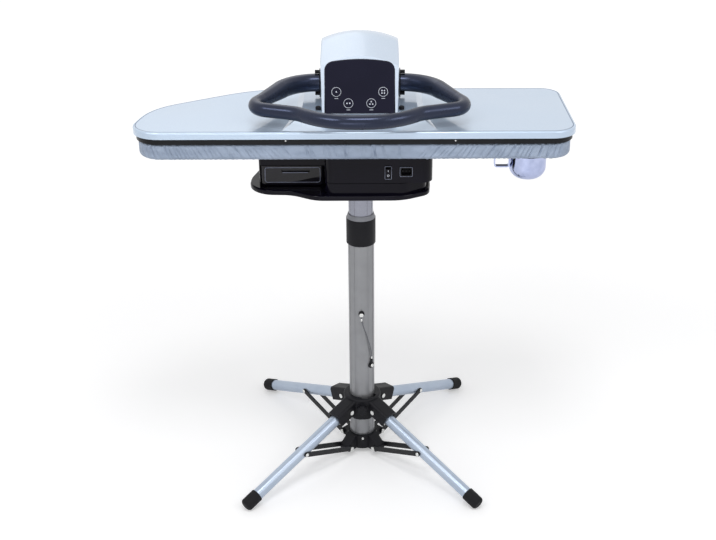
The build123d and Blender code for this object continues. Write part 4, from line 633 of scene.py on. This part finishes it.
def fold_list():
    folds, place = [], 0.0
    while place < cover_round:
        spot = cover_spots[int(place / cover_step) % len(cover_spots)]
        outer = min(1.0, abs(spot.x - board_middle) / board_half)
        lean = (12 + 58 * (1 - outer) + deal.uniform(-9, 9)) * (1 if spot.x < board_middle else -1)
        if outer < mixed_middle:
            lean = deal.uniform(-34, 34)
        lean *= -1 if spot.y < 0 else 1
        depth = 3.0 + 2.6 * deal.random()
        if outer > 1 - smooth_ends:
            depth *= max(0.0, (1 - outer) / smooth_ends)
        folds.append((place, lean * mm, (2.0 + 1.6 * deal.random()) * mm, depth * mm))
        place += (6.5 + 7 * (1 - outer) + deal.uniform(-2, 5)) * mm
    return folds


folds = fold_list()
print("folds:", len(folds))

# %% [markdown]
# The cover's section is a bent line: from the cord in the hem, flat under the pan, round the lower edge, up
# the side and over the upper edge onto the top. Each point on it knows how far up the cloth it lies, so a
# fold can lean as it climbs. A fold is a sharp crease with a low wide ridge beside it. The cloth itself is
# 0.5 mm thick, which a Solidify modifier adds.

# %% Section of the cover
cover_tall = (cover_high.z - cover_low.z) / mm
lower_round, upper_round = 9, 6
section = [(27.0, 2.0, 0.0), (27.6, 1.1, 0.01), (26.6, 0.2, 0.02), (24.4, 0.0, 0.04), (22.6, 0.5, 0.05),
           (20.0, 0.5, 0.09), (17.0, 0.4, 0.14), (14.0, 0.3, 0.19), (11.5, 0.1, 0.23)]
for step in range(9):
    angle = math.pi / 2 * step / 8
    into, up = lower_round * (1 - math.sin(angle)), lower_round * (1 - math.cos(angle))
    section.append((into, up, 0.26 + 0.24 * step / 8))
for step in range(1, 9):
    up = lower_round + (cover_tall - lower_round - upper_round) * step / 8
    section.append((0.0, up, 0.5 + 0.32 * step / 8))
for step in range(1, 6):
    angle = math.pi / 2 * step / 5
    up = cover_tall - upper_round * (1 - math.sin(angle))
    section.append((upper_round * (1 - math.cos(angle)), up, 0.82 + 0.12 * step / 5))
section += [(9.0, cover_tall, 0.96), (13.0, cover_tall, 0.98), (19.0, cover_tall, 1.0)]
print("section points:", len(section))

# %% Cloth cover
def fold_depth(place, climb):
    total = 0.0
    for foot, lean, wide, depth in folds:
        away = (place - foot - lean * climb + cover_round / 2) % cover_round - cover_round / 2
        if abs(away) < 3.2 * wide:
            crease = math.exp(-1.4 * abs(away) / wide)
            ridge = 0.4 * math.exp(-(away / wide / 2.1) ** 2)
            total += depth * (crease - ridge)
    return total


def fold_strength(climb):
    at_cord = min(1.0, climb / 0.05)
    under_board = min(1.0, max(0.25, (climb - 0.2) / 0.3))
    at_top = min(1.0, max(0.0, (0.97 - climb) / 0.15))
    return at_cord * under_board * at_top


cover_rings = []
for k, (into, up, climb) in enumerate(section):
    before, after = section[max(0, k - 1)], section[min(len(section) - 1, k + 1)]
    face_out = Vector((after[1] - before[1], after[0] - before[0])).normalized()
    fade = fold_strength(climb)
    ring = []
    for i, (spot, arrow) in enumerate(zip(cover_spots, cover_arrows)):
        sink = fold_depth(i * cover_step, climb) * fade
        out = -into * mm - sink * face_out.x
        height = cover_low.z + up * mm + sink * face_out.y
        ring.append((*(spot + arrow * out), height))
    cover_rings.append(ring)
for share in (0.15, 0.35, 0.6, 0.85):
    cover_rings.append(drawn_to_spine(cover_spots, share, cover_high.z))
cover = ring_mesh("cloth_cover", cover_rings, closed_bottom=False)
fit(cover, "press_base", coated_cotton)
thick = cover.modifiers.new("cloth_thickness", "SOLIDIFY")
thick.thickness = 0.5 * mm
thick.offset = -1
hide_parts("board_cover")
cover_area = sum(face.area for face in cover.data.polygons)
print("cover has", round(cover_area, 4), "square metres of cloth")

# %% [markdown]
# ## Small things
# Screws, rivet heads and print are too small for the engineered model. Each screw and each mark of print
# is set where a ray from outside meets the part that carries it, so it always sits on the surface. A screw
# or rivet is a profile spun round its axis. The cross in a screw's head is one more ring whose radius
# follows the cross instead of a circle. For each screw the list says which part carries it, where the ray
# starts and points, the head's radius and the body it moves with.

# %% Spin small pieces
def touch(node, start, along):
    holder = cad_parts[node]
    home = holder.matrix_world
    back = home.inverted()
    spot, facing = holder.ray_cast(back @ (Vector(start) * mm), back.to_3x3() @ Vector(along))[1:3]
    return home @ spot, (home.to_3x3() @ facing).normalized()


def cross_reach(angle, long, wide):
    c, s = abs(math.cos(angle)) + 1e-6, abs(math.sin(angle)) + 1e-6
    return max(min(long / c, wide / s), min(long / s, wide / c))


def spun(name, profile, place, facing, body, cross=0, sides=48):
    turn = Vector((0, 0, 1)).rotation_difference(facing).to_matrix()
    angles = [2 * math.pi * i / sides for i in range(sides)]
    rings = [[(radius, angle, height) for angle in angles] for radius, height in profile]
    if cross:
        top = profile[-1][1]
        for depth in (0, 0.35 * cross):
            rings.append([(cross_reach(angle, cross, 0.3 * cross), angle, top - depth) for angle in angles])
    points = []
    for ring in rings:
        spots = [Vector((r * math.cos(a), r * math.sin(a), h)) for r, a, h in ring]
        points.append([turn @ spot * mm + place for spot in spots])
    return fit(ring_mesh(name, points), body, nickel)


def pan_head(radius):
    shares = ((1, 0.25), (0.93, 0.45), (0.75, 0.58))
    return [(radius, -0.1)] + [(wide * radius, high * radius) for wide, high in shares]


def told(vector, digits=1):
    return [round(v, digits) for v in vector]


print("screws, rivets and ferrules are nickel-plated")

# %% Screws


bpy.context.view_layer.update()
screws = {
    "gap_screw_left": ("heating_shoe", (-154, -300, 848.2), (0, 1, 0), 1.9, "press_head"),
    "gap_screw_right": ("heating_shoe", (199, -300, 847.4), (0, 1, 0), 1.9, "press_head"),
    "hub_screw": ("foot_hub", (1, -300, 41), (0, 1, 0), 3.2, "stand_column"),
    "clip_screw": ("tether_clip", (60, -60, 240.5), (-0.7071, 0.7071, 0), 4.2, "stand_column"),
}
for name, (node, start, along, radius, body) in screws.items():
    place, facing = touch(node, start, along)
    spun(name, pan_head(radius), place, facing, body, cross=0.55 * radius)
    print(name, "at", told(place / mm), "facing", told(facing, 2))

# %% Rivet heads on the straps
rivet_reach, rivet_level, rivet_side = 201.0, 73.8, 19.2
rivet_dome = [(4.7, -1.9), (4.7, 0.2), (4.1, 0.8), (2.9, 1.3), (1.4, 1.6)]
leg_directions = {"front_left": 225, "front_right": 315, "rear_left": 133, "rear_right": 47}
for corner, degrees in leg_directions.items():
    angle = math.radians(degrees)
    for side in (1, -1):
        facing = Vector((-math.sin(angle) * side, math.cos(angle) * side, 0))
        place = Vector((rivet_reach * math.cos(angle), rivet_reach * math.sin(angle), rivet_level)) * mm
        place += facing * rivet_side * mm
        spun("rivet_" + corner + "_" + str(side), rivet_dome, place, facing, "brace_" + corner)
print("rivet heads:", 2 * len(leg_directions))

# %% [markdown]
# The wire rope is gripped at both ends by a pressed, nickel-plated ferrule. The upper one moves with the
# pin.

# %% Ferrules
ferrule = [(1.3, 0), (2.1, 0.3), (2.1, 2.6), (1.8, 3.2), (1.8, 4.0), (2.1, 4.6), (2.1, 6.9), (1.3, 7.2)]
for name, place, body in (("upper_ferrule", (0.1, -37.0, 366), "height_pin"),
                          ("lower_ferrule", (23.3, -23.3, 257.5), "stand_column")):
    spun(name, ferrule, Vector(place) * mm, Vector((0, 0, 1)), body)

# %% [markdown]
# The panel and the switch carry white screen print, a tenth of a millimetre thick. Each mark is a loop and
# a smaller loop inside it, joined across the top: a ring keeps its hole and a dot or bar closes up. The
# keys are told apart by plain counts of dots, and the switch has the usual line and circle.

# %% Screen print
white_ink = start_finish("white_screen_print", "#cfd4de", Roughness=0.5, IOR=1.5)
lay_pattern(white_ink, 3, colours=("#c6cbd6", "#d8dce4"), roughness=(0.42, 0.58))


def loop(across, up, radius, half_long=0.0, half_tall=0.0, count=32):
    points = []
    for i in range(count):
        angle = 2 * math.pi * (i + 0.5) / count
        c, s = math.cos(angle), math.sin(angle)
        x = across + math.copysign(half_long, c) + radius * c
        points.append((x, up + math.copysign(half_tall, s) + radius * s))
    return points


def screen_print(name, marks, place, facing, body, thick=0.12):
    across = Vector((0, 0, 1)).cross(facing).normalized()
    up = facing.cross(across)
    work = bmesh.new()
    for outer, inner in marks:
        rings = []
        for points, height in ((outer, 0), (outer, thick), (inner, thick), (inner, 0)):
            spots = [place + (across * x + up * y + facing * height) * mm for x, y in points]
            rings.append([work.verts.new(spot) for spot in spots])
        join_rings(work, rings)
    fit(piece_of(name, work, smooth=False), body, white_ink)
    print(name, "at", told(place / mm), "facing", told(facing, 2))


panel_tilt = math.radians(28)
dot_places = {
    "key_outer_left": [(0, 0)],
    "key_inner_left": [(-3, 0), (3, 0)],
    "key_inner_right": [(-3, -1.8), (3, -1.8), (0, 3.4)],
    "key_outer_right": [(-2.7, -2.7), (2.7, -2.7), (-2.7, 2.7), (2.7, 2.7)],
}
far_off, ring_radius, ring_line, dot_radius, below_ring = 200, 10.3, 0.9, 1.6, -14.2
inwards = Vector((0, math.cos(panel_tilt), -math.sin(panel_tilt)))
for key, dots in dot_places.items():
    low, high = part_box(key)
    place, facing = touch(key, (low + high) / 2 / mm - inwards * far_off, inwards)
    marks = [(loop(0, 0, ring_radius), loop(0, 0, ring_radius - ring_line))]
    marks += [(loop(x, y, dot_radius), loop(x, y, 0.05)) for x, y in dots]
    screen_print(key + "_print", marks, place, facing, key)
    legend = [(loop(0, below_ring, 0.55, 3.4), loop(0, below_ring, 0.02, 3.4))]
    screen_print(key + "_legend", legend, place, facing, "press_head")
for name, level, marks in (("rocker_line", 766, [(loop(0, 0, 0.7, 0, 1.6), loop(0, 0, 0.02, 0, 1.6))]),
                           ("rocker_circle", 755, [(loop(0, 0, 2.5), loop(0, 0, 1.5))])):
    screen_print(name, marks, *touch("power_rocker", (60, -300, level), (0, 1, 0)), "power_rocker")

# %% [markdown]
# ## Beads with a painted highlight, and a seam with painted shade
# The tank's front has a polished bead round its edge and two more along its grip, and finer beads frame the
# switch and the mains inlet. Their pale grey on dark plastic is a painted highlight, standing for the
# bright line that light draws along a polished edge. A path in x and z is thrown on the part from the
# front, point by point, and a small round tube is laid along it.

# %% A bead along a path
# painted highlight: the beads' pale grey stands for light running along polished edges
bead_highlight_paint = start_finish("painted_highlight_edge", "#868ca3", Roughness=0.12, IOR=1.58)
lay_pattern(bead_highlight_paint, 25, colours=("#7b8198", "#9298ae"), roughness=(0.08, 0.18))


def bead(name, path, closed, radius, node, body, sides=8):
    points = [touch(node, (x, -300, z), (0, 1, 0))[0] for x, z in path]
    front = Vector((0, -1, 0))
    work = bmesh.new()
    rings = []
    for i, point in enumerate(points):
        after = points[(i + 1) % len(points)] if closed or i + 1 < len(points) else point
        before = points[i - 1] if closed or i else point
        across = (after - before).normalized().cross(front)
        ring = []
        for k in range(sides):
            angle = 2 * math.pi * k / sides
            out = across * math.cos(angle) + front * math.sin(angle)
            ring.append(work.verts.new(point + out * radius * mm))
        rings.append(ring)
    join_rings(work, rings, closed)
    if not closed:
        work.faces.new(rings[0][::-1])
        work.faces.new(rings[-1])
    fit(piece_of(name, work), body, bead_highlight_paint)


def rounded_box_path(left, right, low, high, corner, steps=8):
    path = []
    for turn, (x, z) in enumerate(((right - corner, high - corner), (left + corner, high - corner),
                                   (left + corner, low + corner), (right - corner, low + corner))):
        for i in range(steps + 1):
            angle = math.pi / 2 * (turn + i / steps)
            path.append((x + corner * math.cos(angle), z + corner * math.sin(angle)))
    return path


print("bead plastic is ready")

# %% Beads on the tank, the inlet and the switch
tank_edge = rounded_box_path(-208, -88, 721, 755, 5)
bead("tank_bead", tank_edge, True, 0.8, "water_tank", "water_tank")
for name, level in (("grip_bead_upper", 753.2), ("grip_bead_lower", 743.5)):
    grip_line = [(-170 + 4 * i, level) for i in range(15)]
    bead(name, grip_line, False, 0.9, "water_tank", "water_tank")
for name, edges, node in (("inlet_bead", (85.2, 111.8, 753, 774), "mains_inlet"),
                          ("switch_bead", (53, 67, 747, 776), "switch_bezel")):
    bead(name, rounded_box_path(*edges, 2), True, 0.45, node, "press_base")
print("tank, inlet and switch have their beads")

# %% [markdown]
# A seam runs round the head's top plate, just inside the rounded rim, where the sprayed skin is folded over
# the frame. It is a flat band 2 mm wide, a tenth of a millimetre proud of the plate, in a darker blue-grey
# than its lacquer. That dark is partly the seam and partly painted shade, the shade of the crease where the
# rim's rounding begins.

# %% Seam round the head's plate
# painted shade: the band's dark blue-grey stands partly for the crease's shade at the rim
seam_and_shade_lacquer = start_finish("shadowed_lacquer_seam", "#74839a", Metallic=0.3, Roughness=0.45)
lay_pattern(seam_and_shade_lacquer, 30, colours=("#6b7a91", "#7e8da4"), roughness=(0.38, 0.52))
plate_spots, plate_step = outline_of("head_cover", 4)
plate_arrows = outward(plate_spots)
seam_section = ((4.6, -0.3), (4.8, 0.12), (6.6, 0.12), (6.8, -0.3))
seam_rings = []
for inside, lift in seam_section:
    ring = []
    for x, y, _ in inset(plate_spots, plate_arrows, inside, 0):
        ring.append(touch("head_cover", (x / mm, y / mm, 1000), (0, 0, -1))[0] + Vector((0, 0, lift * mm)))
    seam_rings.append(ring)
seam = ring_mesh("plate_seam_and_shade", seam_rings, closed_top=False, closed_bottom=False)
fit(seam, "press_head", seam_and_shade_lacquer)
print("seam is", round(len(plate_spots) * plate_step, 2), "m long")

# %% [markdown]
# ## Floor, backdrop and lamps
# The photograph has a white ground, so the floor is white to the camera and still keeps a soft shadow. A
# little glow, seen only by the camera, in reflections and through the smoked tank, lifts the white without
# adding light to the press. It is weaker near the press and stronger far off, so a broad patch of painted
# shade lies round the press and deepens its shadow.

# %% What the eye sees directly
def seen_by_eye(material):
    rays = add_node(material, "ShaderNodeLightPath", {})
    seen = rays.outputs["Is Camera Ray"]
    for kind in ("Is Glossy Ray", "Is Transmission Ray"):
        either = add_node(material, "ShaderNodeMath", {0: seen, 1: rays.outputs[kind]}, operation="MAXIMUM")
        seen = either.outputs[0]
    return seen


print("glow is kept to the eye, reflections and clear parts")

# %% Floor
floor_mesh = bpy.data.meshes.new("studio_floor")
reach = 14
corners = [(-reach, -reach, 0), (reach, -reach, 0), (reach, reach, 0), (-reach, reach, 0)]
floor_mesh.from_pydata(corners, [], [(0, 1, 2, 3)])
floor = bpy.data.objects.new("studio_floor", floor_mesh)
bpy.context.scene.collection.objects.link(floor)
floor_paint = start_finish("white_studio_floor", "#e9e9ea", Roughness=0.9)
floor_tree = floor_paint.node_tree
# painted shade: near_glow dims the floor round the press, far_glow keeps the far floor white
far_glow, near_glow, per_metre = 0.62, 0.3, 0.3
floor_spot = add_node(floor_paint, "ShaderNodeTexCoord", {}).outputs["Object"]
sized = add_node(floor_paint, "ShaderNodeMapping", {"Vector": floor_spot, "Scale": (per_metre,) * 3})
nearness = add_node(floor_paint, "ShaderNodeTexGradient", {"Vector": sized.outputs[0]},
                    gradient_type="SPHERICAL")
glow_range = {"Value": nearness.outputs[1], "To Min": far_glow, "To Max": near_glow}
floor_glow = add_node(floor_paint, "ShaderNodeMapRange", glow_range).outputs[0]
glow_strength = add_node(floor_paint, "ShaderNodeMath", {0: seen_by_eye(floor_paint), 1: floor_glow},
                         operation="MULTIPLY").outputs[0]
glow = add_node(floor_paint, "ShaderNodeEmission", {"Strength": glow_strength})
both = add_node(floor_paint, "ShaderNodeAddShader", {0: glow.outputs[0],
                                                     1: floor_tree.nodes["Principled BSDF"].outputs[0]})
floor_tree.links.new(both.outputs[0], floor_tree.nodes["Material Output"].inputs["Surface"])
floor_mesh.materials.append(floor_paint)
print("floor is", 2 * reach, "m wide")

# %% [markdown]
# The world is white to the eye and half as strong as light, and it is pale all round, because polished
# metal and gloss plastic show little else. The lamps are soft boxes: a key high on the left, one above the
# board, one high on the right, one behind for the edges, and a low one in front to fill. Together they
# light the press at a plain level, so a colour comes out about as it is written.

# %% World
bpy.context.scene.view_settings.view_transform = "Standard"
world = bpy.data.worlds.new("pale_studio")
world.use_nodes = True
bpy.context.scene.world = world
sky = world.node_tree.nodes["Background"]
room_light, white = 0.5, 1.0
room_range = {"Value": seen_by_eye(world), "To Min": room_light, "To Max": white}
room = add_node(world, "ShaderNodeMapRange", room_range).outputs[0]
world.node_tree.links.new(room, sky.inputs["Strength"])
sky.inputs["Color"].default_value = (1, 1, 1, 1)
print("world lights with", room_light)

# %% Lamps
lamps = {
    "key": ((-1.3, -1.5, 2.7), (0, 0, 0.7), 0.8, 14),
    "top": ((0.1, -0.9, 3.1), (0, 0, 0.8), 0.7, 15),
    "right": ((1.7, -1.3, 2.3), (0, 0, 0.7), 0.9, 10),
    "back": ((-0.6, 2.0, 2.6), (0, 0, 0.8), 1.4, 4),
    "front": ((-0.4, -2.6, 0.9), (0, 0, 0.5), 0.9, 5),
}
for name, (place, aim, size, watts) in lamps.items():
    lamp = bpy.data.objects.new(name + "_softbox", bpy.data.lights.new(name + "_softbox", "AREA"))
    lamp.data.size = size
    lamp.data.energy = watts
    lamp.location = place
    lamp.rotation_euler = (Vector(aim) - Vector(place)).to_track_quat("-Z", "Y").to_euler()
    bpy.context.scene.collection.objects.link(lamp)
print("lamps:", ", ".join(lamps))
